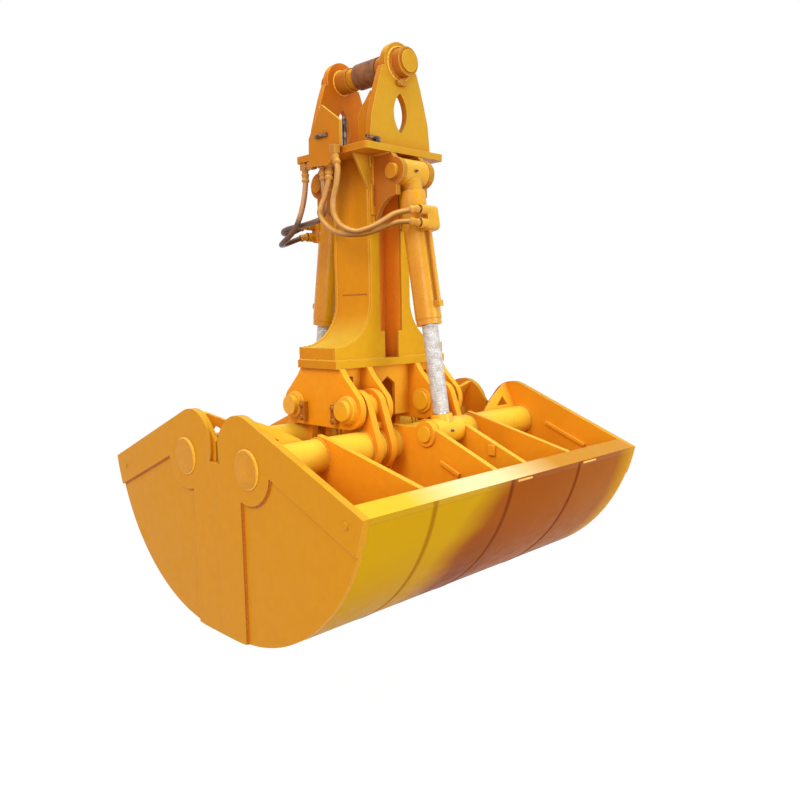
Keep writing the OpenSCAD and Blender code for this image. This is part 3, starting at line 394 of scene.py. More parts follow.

# %% Rounded edges with a painted highlight
edge_group, given, made = new_group("painted_edge_highlight", {"Radius": ("value", 0.004)},
    {"Mask": "value", "Normal": "vector"})
tree = edge_group
rounded = add(tree, "ShaderNodeBevel", {"Radius": given["Radius"]}, samples=6)
true_normal = add(tree, "ShaderNodeNewGeometry").outputs["True Normal"]
facing = add(tree, "ShaderNodeVectorMath", {0: rounded.outputs[0], 1: true_normal}, operation="DOT_PRODUCT")
# The mask of the rounded edges, where a lighter colour is painted as a highlight.
feed(tree, spread(tree, facing.outputs["Value"], 0.99, 0.85), made["Mask"])
feed(tree, rounded.outputs[0], made["Normal"])
print("group", edge_group.name)

# %% Painted shade in inside corners
corner_group, given, made = new_group("painted_corner_shade", {"Reach": ("value", 0.05)}, {"Mask": "value"})
tree = corner_group
open_share = add(tree, "ShaderNodeAmbientOcclusion", {"Distance": given["Reach"]}, samples=5).outputs["AO"]
# Where other surfaces are close, a darker colour is painted as shade.
feed(tree, spread(tree, open_share, 0.92, 0.35), made["Mask"])
print("group", corner_group.name)

# %% Painted light on faces that look up
top_light_group, given, made = new_group("painted_top_light", {"Amount": ("value", 0.3)}, {"Mask": "value"})
tree = top_light_group
# Faces that look up are painted paler in patches, as light from above.
lying = spread(tree, turned_to(tree, "Z"), 0.30, 0.90)
patchy = spread(tree, noise(tree, 9.0, 5.0, 0.6), 0.30, 0.62, 0.55, 1.0)
feed(tree, times(tree, times(tree, lying, patchy), given["Amount"]), made["Mask"])
print("group", top_light_group.name)

# %% [markdown]
# ## Paint
# All structural steel wears the same yellow-orange enamel, sprayed after assembly. Faces towards Y show its
# full yellow coat, and faces towards X and faces that look down get a darker, more orange painted shade.
# Inside corners get a deeper painted shade, and faces that look up get pale painted light. One function makes
# every variant, from its coat and its shade colour.

# %% Enamel materials
EDGE_HIGHLIGHT_TONE, TOP_LIGHT_TONE = painted(255, 208, 104), painted(255, 214, 70)
CORNER_SHADE_TONE = (176, 78, 8)


# top is the amount of pale painted light on faces that look up.
def enamel(name, full, side, roughness=0.36, edge_highlight_share=0.55, top=0.5, radius=0.004, corner=CORNER_SHADE_TONE,
        corner_shade_share=0.55, reach=0.05, gloss=0.10):
    """A painted material from the shared groups."""
    material, tree = new_material(name)
    coat = add(tree, "ShaderNodeGroup", {"Full coat": painted(*full), "Side shade": painted(*side),
        "Roughness": roughness}, node_tree=enamel_group).outputs
    edges = add(tree, "ShaderNodeGroup", {"Radius": radius}, node_tree=edge_group).outputs
    corners = add(tree, "ShaderNodeGroup", {"Reach": reach}, node_tree=corner_group).outputs
    top_lit = add(tree, "ShaderNodeGroup", {"Amount": top}, node_tree=top_light_group).outputs
    # Inside corners get a deeper orange, painted as shade.
    deep = mixed(tree, times(tree, corners["Mask"], corner_shade_share), coat["Colour"], painted(*corner))
    # Faces that look up get a pale colour, painted as light from above.
    pale = mixed(tree, top_lit["Mask"], deep, TOP_LIGHT_TONE)
    # A lighter colour painted on the rounded edges as a highlight.
    lit = mixed(tree, times(tree, edges["Mask"], edge_highlight_share), pale, EDGE_HIGHLIGHT_TONE)
    bump = add(tree, "ShaderNodeBump", {"Strength": 0.25, "Distance": 0.004, "Height": coat["Height"],
        "Normal": edges["Normal"]})
    rough = plus(tree, coat["Roughness"], times(tree, top_lit["Mask"], 0.2))
    show(tree, add(tree, "ShaderNodeBsdfPrincipled", {"Base Color": lit, "Roughness": rough,
        "Normal": bump.outputs[0], "Specular IOR Level": gloss}))
    return material


# Each enamel gives its coat for faces towards Y, then its darker side colour, the painted shade of faces
# towards X and faces that look down.
frame_enamel = enamel("frame_enamel", (224, 168, 22), (214, 136, 14))
head_enamel = enamel("head_enamel", (204, 152, 36), (192, 114, 18))
# The lugs, pin keepers and ear bosses are painted a darker, redder orange as their shade.
lug_shade_enamel = enamel("lug_shade_enamel", (184, 128, 34), (176, 94, 28), top=0.2)
end_enamel = enamel("end_enamel", (206, 142, 12), (204, 134, 12), edge_highlight_share=0.25, top=0.3, reach=0.03)
# The corner colours given here are painted shade in these parts' inside corners.
inner_enamel = enamel("inner_enamel", (248, 180, 44), (246, 160, 30), corner=(196, 80, 8), top=0.35)
recess_enamel = enamel("recess_enamel", (250, 166, 54), (246, 156, 44), corner=(196, 84, 18), top=0.1)
pin_enamel = enamel("pin_enamel", (246, 190, 40), (240, 172, 30), roughness=0.28, radius=0.003,
    corner_shade_share=0.2, gloss=0.35)
tube_enamel = enamel("tube_enamel", (252, 204, 56), (204, 132, 14), roughness=0.3, corner_shade_share=0.2,
    edge_highlight_share=0.3, gloss=0.16)
cylinder_enamel = enamel("cylinder_enamel", (220, 162, 20), (210, 134, 12), roughness=0.24, top=0.3,
    gloss=0.4)
fitting_enamel = enamel("fitting_enamel", (200, 140, 50), (180, 112, 30), roughness=0.3, gloss=0.3)
far_ear_enamel = enamel("far_ear_enamel", (214, 120, 26), (198, 116, 20))
bracket_enamel = enamel("bracket_enamel", (246, 176, 34), (248, 158, 20))
# A dark orange for the ground joints and, along the doublers' edges, painted as the shade under them.
seam_and_shade_enamel = enamel("seam_and_shade_enamel", (196, 108, 8), (176, 92, 6), edge_highlight_share=0.0, top=0.2, gloss=0.3)
print("enamels made")

# %% [markdown]
# ## Back plates
# The curved back of each jaw is ochre yellow on its left part, painted darker low down as shade. Past a soft
# slanting boundary it is painted brown as shade, darkest near the boundary low down, and only the rim at the
# right end is yellow again. Three welded joints cross it, ground down and darker than the plate. All this
# follows the plate's own coordinates, so it is the same from every side. The lip's outer face got the same
# paint, so one group serves both.

# %% Paint of the back
BOWL = (80, 696)
BACK_JOINTS = (-458, -71, 343)
back_group, given, made = new_group("back_plate_paint",
    {"Ochre": ("colour", painted(192, 146, 10)), "Brown": ("colour", painted(155, 80, 14)),
     "Rim": ("colour", painted(192, 134, 16))}, {"Colour": "colour"})
tree = back_group
along = place_on(tree, "X")
up = height_up(tree)
rise = spread(tree, up, 0.20, 0.55, 0.0, 1.19)
bend = times(tree, times(tree, rise, rise), 0.130)
past = minus(tree, along, minus(tree, bend, 0.300))
past = plus(tree, past, spread(tree, noise(tree, 5.0, 3.0), 0.3, 0.7, -0.025, 0.025))
# Past the slanting boundary the back is painted brown as shade, darkest near the boundary low down.
brown = spread(tree, past, -0.09, 0.07)
dark_edge = times(tree, spread(tree, past, 0.0, 0.10), spread(tree, past, 0.45, 0.12))
dark_low = times(tree, dark_edge, spread(tree, up, 0.42, 0.18, 0.1, 0.75))
pink = times(tree, spread(tree, along, 0.15, 0.60), 0.6)
shade_colour = mixed(tree, pink, given["Brown"], painted(166, 100, 36))
shade_colour = mixed(tree, dark_low, shade_colour, painted(114, 50, 6))
clouds = spread(tree, noise(tree, 7.0, 4.0), 0.35, 0.7, 0.0, 0.22)
shade_colour = mixed(tree, clouds, shade_colour, painted(138, 68, 12))
# Low down the ochre is painted darker as shade.
low_ochre = mixed(tree, spread(tree, up, 0.40, 0.05), given["Ochre"], painted(182, 126, 10))
back = mixed(tree, brown, low_ochre, shade_colour)
back = mixed(tree, spread(tree, along, 0.63, 0.72), back, given["Rim"])
joint_tone = mixed(tree, spread(tree, along, -0.3, -0.2), painted(160, 108, 6), painted(122, 52, 6))
joint = 0.0
for x in BACK_JOINTS:
    off = calc(tree, "ABSOLUTE", minus(tree, along, x / 1000))
    joint = calc(tree, "MAXIMUM", joint, spread(tree, off, 0.015, 0.008, 0.0, 0.85))
feed(tree, mixed(tree, joint, back, joint_tone), made["Colour"])
print("group", back_group.name)


# %% Shares that follow the shape
def outward(tree):
    """1 on the outside of the bowl, 0 inside it, from the direction out of the bowl's axis."""
    side = times(tree, calc(tree, "SIGN", place_on(tree, "Y")), BOWL[0] / 1000)
    out_y = minus(tree, place_on(tree, "Y"), side)
    out_z = minus(tree, height_up(tree), BOWL[1] / 1000)
    out = plus(tree, times(tree, out_y, turned_to(tree, "Y")), times(tree, out_z, turned_to(tree, "Z")))
    return spread(tree, out, 0.05, 0.30)


def vertical(tree):
    """1 on faces that look sideways, 0 on faces that look up."""
    return spread(tree, turned_to(tree, "Z"), 0.55, 0.25)


def upward(tree):
    """Most on faces that look up, 0 on steep ones."""
    return spread(tree, turned_to(tree, "Z"), 0.55, 0.80, 0.0, 0.9)


def inward(tree):
    """Most on faces of an end plate that look into the bucket."""
    out = times(tree, calc(tree, "SIGN", place_on(tree, "X")), turned_to(tree, "X"))
    return spread(tree, out, -0.5, -0.8, 0.0, 0.85)


def under_head(tree):
    """Where the head plate's shadow is painted: most just below it, fading over a quarter of a metre, and
    mainly on faces towards X.
    """
    low = spread(tree, height_up(tree), 1.46, 1.70, 0.0, 0.6)
    side = spread(tree, calc(tree, "ABSOLUTE", turned_to(tree, "X")), 0.5, 0.8, 0.35, 1.0)
    return times(tree, low, side)


# %% Colours laid over an enamel
def over(material, share, colour):
    """Lays a colour over an enamel's own coat, by a share; both are functions of the node tree."""
    tree = material.node_tree
    shader = next(n for n in tree.nodes if n.type == "BSDF_PRINCIPLED")
    under = shader.inputs["Base Color"].links[0].from_socket
    tree.links.new(mixed(tree, share(tree), under, colour(tree)), shader.inputs["Base Color"])
    return material


def back_paint(tree):
    """The paint of the bucket's back, with its painted shade."""
    return add(tree, "ShaderNodeGroup", node_tree=back_group).outputs["Colour"]


def painted_lip_highlight(tree):
    """The top of the lip, with a pale highlight painted left of the middle, turning orange to the right."""
    along = place_on(tree, "X")
    pale = mixed(tree, spread(tree, along, -0.55, -0.30), painted(230, 190, 46), painted(240, 228, 172))
    return mixed(tree, spread(tree, along, -0.12, 0.22), pale, painted(196, 130, 24))


def inner_painted_light(tree):
    """The inside of the end plates, painted a brighter orange as light."""
    return mixed(tree, noise(tree, 3.0, 3.0), painted(246, 150, 24), painted(250, 172, 40))


def painted_head_shadow(tree):
    """The head plate's shadow, painted dark just below it."""
    return mixed(tree, noise(tree, 6.0, 3.0), painted(150, 66, 10), painted(176, 92, 14))


back_enamel = enamel("back_plate_enamel", (244, 164, 40), (238, 150, 34), gloss=0.02)
over(back_enamel, outward, back_paint)
lip_enamel = enamel("lip_enamel", (240, 182, 44), (226, 152, 36), top=0.3, roughness=0.34, gloss=0.08)
# The lip's top gets a pale painted highlight.
over(over(lip_enamel, vertical, back_paint), upward, painted_lip_highlight)
# The end plates' inner faces are painted brighter, as light inside the bucket.
over(end_enamel, inward, inner_painted_light)
# The column's cheeks and face plates get the head plate's shadow painted just below it.
column_enamel = over(enamel("column_enamel", (224, 168, 22), (214, 136, 14)), under_head, painted_head_shadow)
print("back plate, lip and column enamels made")

# %% [markdown]
# ## Bare metal, rust and rubber
# The rods are ground steel, the loose sleeve on the hanger pin is rusty, small fasteners are dark and oiled,
# and the hoses are rubber with dried paint mist on them, in patches. Their undersides are painted dark as
# shade, and the far hoses are darker below a height.


# %% Metals
def plain_finish(name, colour, other, scale, metallic, roughness, relief, tones=(0.35, 0.68)):
    """A two-tone material with noise for its tone, its roughness and its relief (scale, strength)."""
    material, tree = new_material(name)
    tone = spread(tree, noise(tree, scale, 6.0, 0.62), *tones)
    rough = spread(tree, noise(tree, scale * 2, 3.0), 0.2, 0.8, roughness - 0.08, roughness + 0.12)
    bump = add(tree, "ShaderNodeBump", {"Strength": relief[1], "Distance": 0.002,
        "Height": noise(tree, relief[0], 4.0, 0.6)})
    show(tree, add(tree, "ShaderNodeBsdfPrincipled", {
        "Base Color": mixed(tree, tone, painted(*colour), painted(*other)),
        "Roughness": rough, "Metallic": metallic, "Normal": bump.outputs[0]}))
    return material


ground_steel = plain_finish("ground_steel", (196, 198, 202), (170, 172, 178), 40, 1.0, 0.22, (600, 0.1))
dark_steel = plain_finish("dark_steel", (150, 122, 104), (64, 50, 44), 46, 0.6, 0.32, (500, 0.3),
    (0.40, 0.58))
old_rust = plain_finish("old_rust", (144, 88, 36), (96, 50, 18), 30, 0.15, 0.55, (260, 0.6))
print("metals made")


# %% Hose rubber
def hose_finish(name, misted, dark_tone, darker_below=None):
    """Rubber under paint mist in patches, painted dark underneath as shade, and dark below the heights given
    last, if any.
    """
    material, tree = new_material(name)
    # Faces that look down get the dark colour, painted as shade.
    below = spread(tree, turned_to(tree, "Z"), 0.35, -0.65, 0.0, 0.9)
    patches = spread(tree, noise(tree, 16.0, 5.0, 0.6), 0.40, 0.70, 0.0, 0.6)
    share = calc(tree, "MAXIMUM", below, patches)
    if darker_below:
        share = calc(tree, "MAXIMUM", share, spread(tree, height_up(tree), *darker_below))
    rough = spread(tree, noise(tree, 40.0, 3.0), 0.2, 0.8, 0.24, 0.42)
    bump = add(tree, "ShaderNodeBump", {"Strength": 0.3, "Distance": 0.002,
        "Height": noise(tree, 300.0, 4.0)})
    show(tree, add(tree, "ShaderNodeBsdfPrincipled", {
        "Base Color": mixed(tree, share, painted(*misted), painted(*dark_tone)),
        "Roughness": rough, "Normal": bump.outputs[0], "Specular IOR Level": 0.6}))
    return material


near_rubber = hose_finish("near_hose_rubber", (214, 150, 52), (122, 74, 20))
far_rubber = hose_finish("far_hose_rubber", (210, 150, 88), (92, 58, 38), (1.530, 1.475))
for hose in hoses:
    hose.data.materials.append(near_rubber if hose.name.startswith("near") else far_rubber)
print("rubber made")

# %% [markdown]
# ## Dress the solids
# Each solid gets its finish by name. The meshes themselves are left exactly as the CAD made them.

# %% Finishes by name
finishes = {
    frame_enamel: ["column_foot"],
    column_enamel: ["column_face_plates", "column_left_cheek", "column_right_cheek"],
    head_enamel: ["head_plate", "hanger_ear_near", "hanger_pin", "hose_bracket", "head_gussets",
        "cylinder_head_pins"],
    far_ear_enamel: ["hanger_ear_far"],
    bracket_enamel: ["bracket_outer_plates"],
    fitting_enamel: ["hose_fittings"],
    lug_shade_enamel: ["cylinder_lugs", "pin_keepers", "ear_bosses"],
    recess_enamel: ["column_web"],
    inner_enamel: ["bracket_inner_plates", "bracket_webs"],
    pin_enamel: ["jaw_pivot_pins"],
    old_rust: ["pin_sleeve"],
    dark_steel: ["supply_couplings"],
}
side_finishes = {
    cylinder_enamel: ["barrel", "gland", "port_block"],
    end_enamel: ["end_plate_left", "end_plate_right", "end_doublers"],
    inner_enamel: ["ribs", "arms", "stiffeners", "cutting_edge"],
    tube_enamel: ["torque_tube"],
    pin_enamel: ["rod_pin_ends", "pivot_bushes", "rod_eye"],
    back_enamel: ["shell_plate"],
    lip_enamel: ["lip_bar"],
    ground_steel: ["rod"],
}
finish_of = {name: finish for finish, names in finishes.items() for name in names}
for side in ("near_", "far_"):
    finish_of.update({side + name: finish for finish, names in side_finishes.items() for name in names})
    finish_of.update({side + name: near_rubber for name in ("upper_hose", "lower_hose")})
for name, solid in nodes.items():
    solid.data.materials.clear()
    solid.data.materials.append(finish_of[name])
print(len(nodes), "solids in", len(set(finish_of.values())), "finishes")

# %% [markdown]
# ## Weld seams
# The bucket is welded from plate, and the beads show wherever two plates meet. A bead follows a line and
# swells at every stroke of the welder, which is a rule, so one Geometry Nodes tree draws them all: it turns
# edges into curves, cuts them into short steps, and sweeps a small circle whose size goes up and down.


# %% The weld tree
def close_tree(tree, shape, given, made):
    """Ends a Geometry Nodes tree: a smooth, real mesh with the material that the tree was given."""
    smooth = add(tree, "GeometryNodeSetShadeSmooth", {0: shape})
    whole = add(tree, "GeometryNodeRealizeInstances", {0: smooth.outputs[0]})
    final = add(tree, "GeometryNodeSetMaterial", {0: whole.outputs[0], "Material": given["Material"]})
    feed(tree, final.outputs[0], made["Geometry"])


weld_tree, given, made = new_group("weld_bead",
    {"Geometry": ("geometry", None), "Radius": ("value", 0.004), "Step": ("value", 0.006),
     "Ripple": ("value", 0.18), "Seed": ("count", 4), "Material": ("material", None)},
    {"Geometry": "geometry"}, "GeometryNodeTree")
tree = weld_tree
curve = add(tree, "GeometryNodeMeshToCurve", {0: given["Geometry"]}).outputs[0]
steps = add(tree, "GeometryNodeResampleCurve", {"Curve": curve, "Length": given["Step"]}, mode="LENGTH")
count = add(tree, "GeometryNodeInputIndex").outputs[0]
# The stroke's angle grows by 2.1 radians per step, so every third step is a new swell.
swell = calc(tree, "SINE", times(tree, count, 2.1))
uneven = add(tree, "FunctionNodeRandomValue", {"Min": -0.5, "Max": 0.5, "Seed": given["Seed"]},
    data_type="FLOAT").outputs[1]
size = plus(tree, 1.0, times(tree, plus(tree, swell, uneven), given["Ripple"]))
circle = add(tree, "GeometryNodeCurvePrimitiveCircle", {"Resolution": 6, "Radius": given["Radius"]})
bead = add(tree, "GeometryNodeCurveToMesh", {"Curve": steps.outputs[0],
    "Profile Curve": circle.outputs[0], "Scale": size, "Fill Caps": True})
close_tree(tree, bead.outputs[0], given, made)
print("weld tree has", len(weld_tree.nodes), "nodes")


# %% Run a tree on a mesh and keep the result
def grown(name, mesh, tree, values, body):
    """The plain mesh that a Geometry Nodes tree makes of a mesh, as a piece that rides on a body."""
    source = new_object(name + "_source", mesh)
    modifier = source.modifiers.new("grow", "NODES")
    modifier.node_group = tree
    names = {item.name: item.identifier for item in tree.interface.items_tree if item.in_out == "INPUT"}
    for label, value in values.items():
        modifier[names[label]] = value
    graph = bpy.context.evaluated_depsgraph_get()
    result = bpy.data.meshes.new_from_object(source.evaluated_get(graph))
    bpy.data.objects.remove(source)
    result.name = name
    piece = new_object(name, result)
    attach(piece, body)
    print(name, len(result.polygons), "faces")
    return piece


# %% Lines for the beads, in the drawing's millimetres
def both_hands(paths):
    """Paths and their mirror images in X."""
    return paths + [[(-x, y, z) for x, y, z in path] for path in paths]


def both_sides(paths):
    """Paths and their mirror images in Y."""
    return paths + [[(x, -y, z) for x, y, z in path] for path in paths]


def arc(axis, centre, radius, start=0, end=360, count=36):
    """An arc round a point, square to X or Y, between two angles in degrees."""
    x, y, z = centre
    path = []
    for i in range(count + 1):
        turn = math.radians(start + (end - start) * i / count)
        c, s = radius * math.cos(turn), radius * math.sin(turn)
        path.append((x, y + c, z + s) if axis == "X" else (x + c, y, z + s))
    return path


def weld(name, body, paths, radius, material, step=0.006, ripple=0.18):
    """One piece with beads along all the given paths."""
    mesh = bpy.data.meshes.new(name + "_lines")
    points, edges = [], []
    for path in paths:
        closed = math.dist(path[0], path[-1]) < 0.01
        first = len(points)
        kept = path[:-1] if closed else path
        points += [drawn(*p) for p in kept]
        edges += [(first + i, first + i + 1) for i in range(len(kept) - 1)]
        if closed:
            edges.append((len(points) - 1, first))
    mesh.from_pydata(points, edges, [])
    return grown(name, mesh, weld_tree,
        {"Radius": radius, "Step": step, "Ripple": ripple, "Material": material}, body)


# %% [markdown]
# ### Beads of the frame
# The column's corners, its ends, the ears, the lugs and the bracket plates carry the loads, so they have
# the heaviest beads. Where the flare begins, a seam crosses the cheek, because the cheek is made of two
# plates.

# %% Weld the frame
COLUMN_X, COLUMN_Y = 105, 108
CORNER = 96
FLARE, FLARE_R = (286, 1171), 183
CHEEK_X = FLARE[0] - FLARE_R
HEAD_LOW, HEAD_TOP, FOOT_TOP, FOOT_LOW = 1710, 1735, 940, 910
FLARE_END, FOOT_X = 284, 296
STRIP_TOP, STRIP_FOOT = 60, 38
LUG_FACES, LUG_Y, LUG_LOW = (61.5, 83.5), 204, 1445
PLATE_FACES, PLATE_Y = (283, 258, 145, 120), 104
EAR_FACES, EAR_X = (151, 178), 159
GUSSET_FACES, GUSSET_Y, EAR_GUSSET_TOP = (114, 130), (149, 84), 1905
JOINT_Y, JOINT_Z = (-80, 62), 1190
flared = [(CHEEK_X, CORNER, HEAD_LOW)] + arc("Y", (FLARE[0], CORNER, FLARE[1]), FLARE_R, 180, 270, 24)
flared.append((FLARE_END, CORNER, FOOT_TOP))
frame_seams = [flared, [(COLUMN_X, COLUMN_Y, HEAD_LOW), (STRIP_TOP, COLUMN_Y, HEAD_LOW)],
    [(STRIP_FOOT, COLUMN_Y, FOOT_TOP), (FOOT_X, COLUMN_Y, FOOT_TOP)],
    [(FOOT_X, 0, FOOT_TOP), (FOOT_X, COLUMN_Y, FOOT_TOP)]]
for x in LUG_FACES:
    frame_seams += [[(x, COLUMN_Y, HEAD_LOW), (x, COLUMN_Y, LUG_LOW)],
        [(x, COLUMN_Y, HEAD_LOW), (x, LUG_Y, HEAD_LOW)]]
frame_seams += [[(x, 0, FOOT_LOW), (x, PLATE_Y, FOOT_LOW)] for x in PLATE_FACES]
frame_seams += [[(x, y, HEAD_TOP) for y in GUSSET_Y] for x in GUSSET_FACES]
frame_seams.append([(GUSSET_FACES[1], EAR_FACES[0], z) for z in (HEAD_TOP, EAR_GUSSET_TOP)])
frame_seams += [[(0, y, HEAD_TOP), (EAR_X, y, HEAD_TOP)] for y in EAR_FACES]
weld("frame_beads", "frame", both_sides(both_hands(frame_seams)), 0.0042, frame_enamel)
plate_joints = both_hands([[(-CHEEK_X, y, JOINT_Z) for y in JOINT_Y]])
weld("plate_joints", "frame", plate_joints, 0.0026, seam_and_shade_enamel)

# %% Rings round the pins
PIVOT, PIVOT_RING = (157, 760), 51
INNER_RING, OUTER_RING = 47, 61
pin_seams = [arc("Y", (0, EAR_FACES[1], HANGER_HEIGHT), OUTER_RING),
    arc("Y", (0, EAR_FACES[0], HANGER_HEIGHT), INNER_RING)]
pin_seams += both_hands([arc("X", (PLATE_FACES[0], *PIVOT), PIVOT_RING)])
weld("pin_beads", "frame", both_sides(pin_seams), 0.0036, pin_enamel)

# %% [markdown]
# ### Beads of the jaws
# Each end plate wears three doublers: a disc round the torque tube, a strap along the top and a side cutter.
# A rough bead runs all the way round their inner edge, painted dark as the shade under that edge, which is
# the strongest line on the bucket's end.
# Inside each jaw the ribs are welded to the back plate and round the tube. Low ground seams cross the back
# plate, and short tacks sit under the lip.

# %% The line round the doublers
TUBE, LIP = (195, 616), (760.3, 549)
END_IN, END_OUT, TUBE_END = 733, 749, 760
HUB_R, STRAP_DROP, STRAP_Y, STRAP_LEAN = 122, 129.8, (712, 316.2), 22.4
CUTTER_Y, CUTTER_Z = 150, (502.6, 4)
slope = math.tan(math.radians(STRAP_LEAN))
strap = [(END_OUT, y, LIP[1] - STRAP_DROP + (LIP[0] - y) * slope) for y in STRAP_Y]
disc = arc("X", (END_OUT, *TUBE), HUB_R, -6.5, -111.6, 24)
doubler_line = strap + disc + [(END_OUT, CUTTER_Y, z) for z in CUTTER_Z]
print("the doublers' line has", len(doubler_line), "points")

# %% Weld the jaws
RIBS, RIB_HALF = (-450, -84, 84, 365), 11
ARM_FACES = (149, 177, 219, 247)
SHELL_INSIDE, SHELL_SEAM, TUBE_RING = 684, 695.2, 65
LIP_FACE = 760.2


def tube_ring(x):
    """The line round the torque tube at a place along it."""
    return arc("X", (x, *TUBE), TUBE_RING)


rib_seams = []
for x in RIBS:
    for face in (x - RIB_HALF, x + RIB_HALF):
        rib_seams += [arc("X", (face, *BOWL), SHELL_INSIDE, -70, -20), tube_ring(face)]
for x in (END_IN, *ARM_FACES):
    rib_seams += both_hands([tube_ring(x)])
rib_seams += both_hands([arc("X", (END_IN, *BOWL), SHELL_INSIDE, -70, -16)])
back_seams = [arc("X", (x, *BOWL), SHELL_SEAM, -13, -88, 60) for x in BACK_JOINTS]
tack_seams = [[(x, LIP_FACE, z), (end, LIP_FACE, z)] for x, end, z in ((-48, 33, 540), (360, 446, 541))]
tack_enamel = enamel("tack_enamel", (248, 176, 92), (240, 150, 60), edge_highlight_share=0.2, gloss=0.4)
jaw_welds = {
    "rib_beads": (rib_seams, 0.0042, frame_enamel, 0.006, 0.18),
    # The doublers' bead is a real weld, painted dark as the shade under the doublers' edge.
    "doubler_beads": (both_hands([doubler_line]), 0.0058, seam_and_shade_enamel, 0.007, 0.28),
    "hub_rings": (both_hands([tube_ring(TUBE_END)]), 0.0040, pin_enamel, 0.006, 0.14),
    "back_seams": (back_seams, 0.0024, back_enamel, 0.012, 0.04),
    "lip_tacks": (tack_seams, 0.0040, tack_enamel, 0.006, 0.2),
}
jaw_beads = []
for side, sign in (("near", -1), ("far", 1)):
    for name, (paths, radius, material, step, ripple) in jaw_welds.items():
        turned = [[(x, sign * y, z) for x, y, z in path] for path in paths]
        jaw_beads.append(weld(side + "_" + name, side + "_jaw", turned, radius, material, step, ripple))
print(len(jaw_beads), "jaw pieces")

# %% [markdown]
# ## Small fittings
# A crimped ferrule holds every hose end: a steel collar that the press leaves with two ridges. Grease
# nipples stand on the cylinder eyes, and two slotted clip plates sit on the column's front strip. They are
# turned or cut parts, so each is a profile swept along a line or a plate cut to an outline with a slot.


# %% Sweep a profile along a line
def finished(name, shape, material):
    """The mesh of a bmesh, with its normals outwards and its material."""
    bmesh.ops.recalc_face_normals(shape, faces=shape.faces)
    made = bpy.data.meshes.new(name)
    shape.to_mesh(made)
    shape.free()
    made.materials.append(material)
    return made


def turned_part(name, body, lines, material, sides=20):
    """Round parts: each line is a list of (centre, radius) and gets closed ends."""
    mesh = bmesh.new()
    for line in lines:
        rings = []
        for i, (centre, radius) in enumerate(line):
            along = line[min(i + 1, len(line) - 1)][0] - line[max(i - 1, 0)][0]
            turn = along.normalized().to_track_quat("Z", "Y").to_matrix()
            rings.append([mesh.verts.new(centre + turn @ Vector((radius * math.cos(math.tau * k / sides),
                radius * math.sin(math.tau * k / sides), 0))) for k in range(sides)])
        for low, high in zip(rings, rings[1:]):
            for k in range(sides):
                mesh.faces.new((low[k], low[(k + 1) % sides], high[(k + 1) % sides], high[k]))
        mesh.faces.new(list(reversed(rings[0])))
        mesh.faces.new(rings[-1])
    made = finished(name, mesh, material)
    for face in made.polygons:
        face.use_smooth = len(face.vertices) == 4
    piece = new_object(name, made)
    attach(piece, body)
    print(name, len(lines), "parts")


# %% Ferrules on the hose ends
def along_line(line, distance):
    """The point at a distance along a line of points."""
    for p, q in zip(line, line[1:]):
        piece = (q - p).length
        if distance <= piece:
            return p + (q - p) * distance / piece
        distance -= piece
    return line[-1]


# Distance along the hose and radius, in millimetres.
CRIMP = ((0, 11.3), (1, 14.6), (4, 15.6), (9, 15.6), (12, 13.4), (21, 13.4), (24, 15.6), (30, 15.6),
    (33, 14.6), (34, 11.3))
FITTING_GAP, PORT_GAP = 0.002, 0.033
ferrules = []
for name, route in hose_routes.items():
    line = smooth_line([drawn(*p) for p in route], 8)
    for path, start in ((line, FITTING_GAP), (list(reversed(line)), PORT_GAP)):
        ferrules.append([(along_line(path, start + far / 1000), radius / 1000) for far, radius in CRIMP])
turned_part("hose_ferrules", "frame", ferrules, fitting_enamel)

# %% Grease nipples
# Distance out of the eye and radius, in millimetres.
NIPPLE = ((-3, 6.5), (1, 6.5), (1.5, 4.5), (7, 4.5), (8, 3.0), (10, 3.8), (12.5, 2.4))
for side, sign in (("near", -1), ("far", 1)):
    for body, (x, y, z) in ((side + "_barrel", (-18, 271, 1639)), (side + "_rod", (-8, 427, 677))):
        line = [(drawn(x, sign * (y + far), z), radius / 1000) for far, radius in NIPPLE]
        turned_part(body + "_nipple", body, [line], dark_steel, 12)


# %% Slotted clip plates
def clip_plate(name, x, z, thick, slot_depth, slot_width):
    """A plate on the front strip, open at the top by a slot with a round bottom."""
    half, mid, low, top = slot_width / 2, sum(x) / 2, *z
    bottom = top - slot_depth
    outline = [(x[0], low), (x[1], low), (x[1], top), (mid + half, top)]
    outline += [(mid + half * math.cos(math.radians(-a)), bottom + half * math.sin(math.radians(-a)))
        for a in range(0, 181, 20)]
    outline += [(mid - half, top), (x[0], top)]
    mesh = bmesh.new()
    front = mesh.faces.new([mesh.verts.new(drawn(px, -COLUMN_Y - thick, pz)) for px, pz in outline])
    grown_out = bmesh.ops.extrude_face_region(mesh, geom=[front])
    moved = [v for v in grown_out["geom"] if isinstance(v, bmesh.types.BMVert)]
    bmesh.ops.translate(mesh, verts=moved, vec=(0, thick / 1000, 0))
    bmesh.ops.triangulate(mesh, faces=mesh.faces)
    piece = new_object(name, finished(name, mesh, frame_enamel))
    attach(piece, "frame")


clip_plate("long_clip", (-100, -72), (1490, 1605), 8, 78, 13)
clip_plate("short_clip", (-105, -83), (1665, 1705), 7, 22, 9)
print("clips made")

# %% [markdown]
# ## Bubble film on the rods
# For transport each rod is wrapped in clear bubble film, from the gland down to the rod eye. It is a tube of
# soft film with rows of small blisters, crossed by sharp creases, and it is thicker where two layers overlap.
# The rows follow a rule, so a Geometry Nodes tree rolls a flat grid into the tube and lifts the blisters.

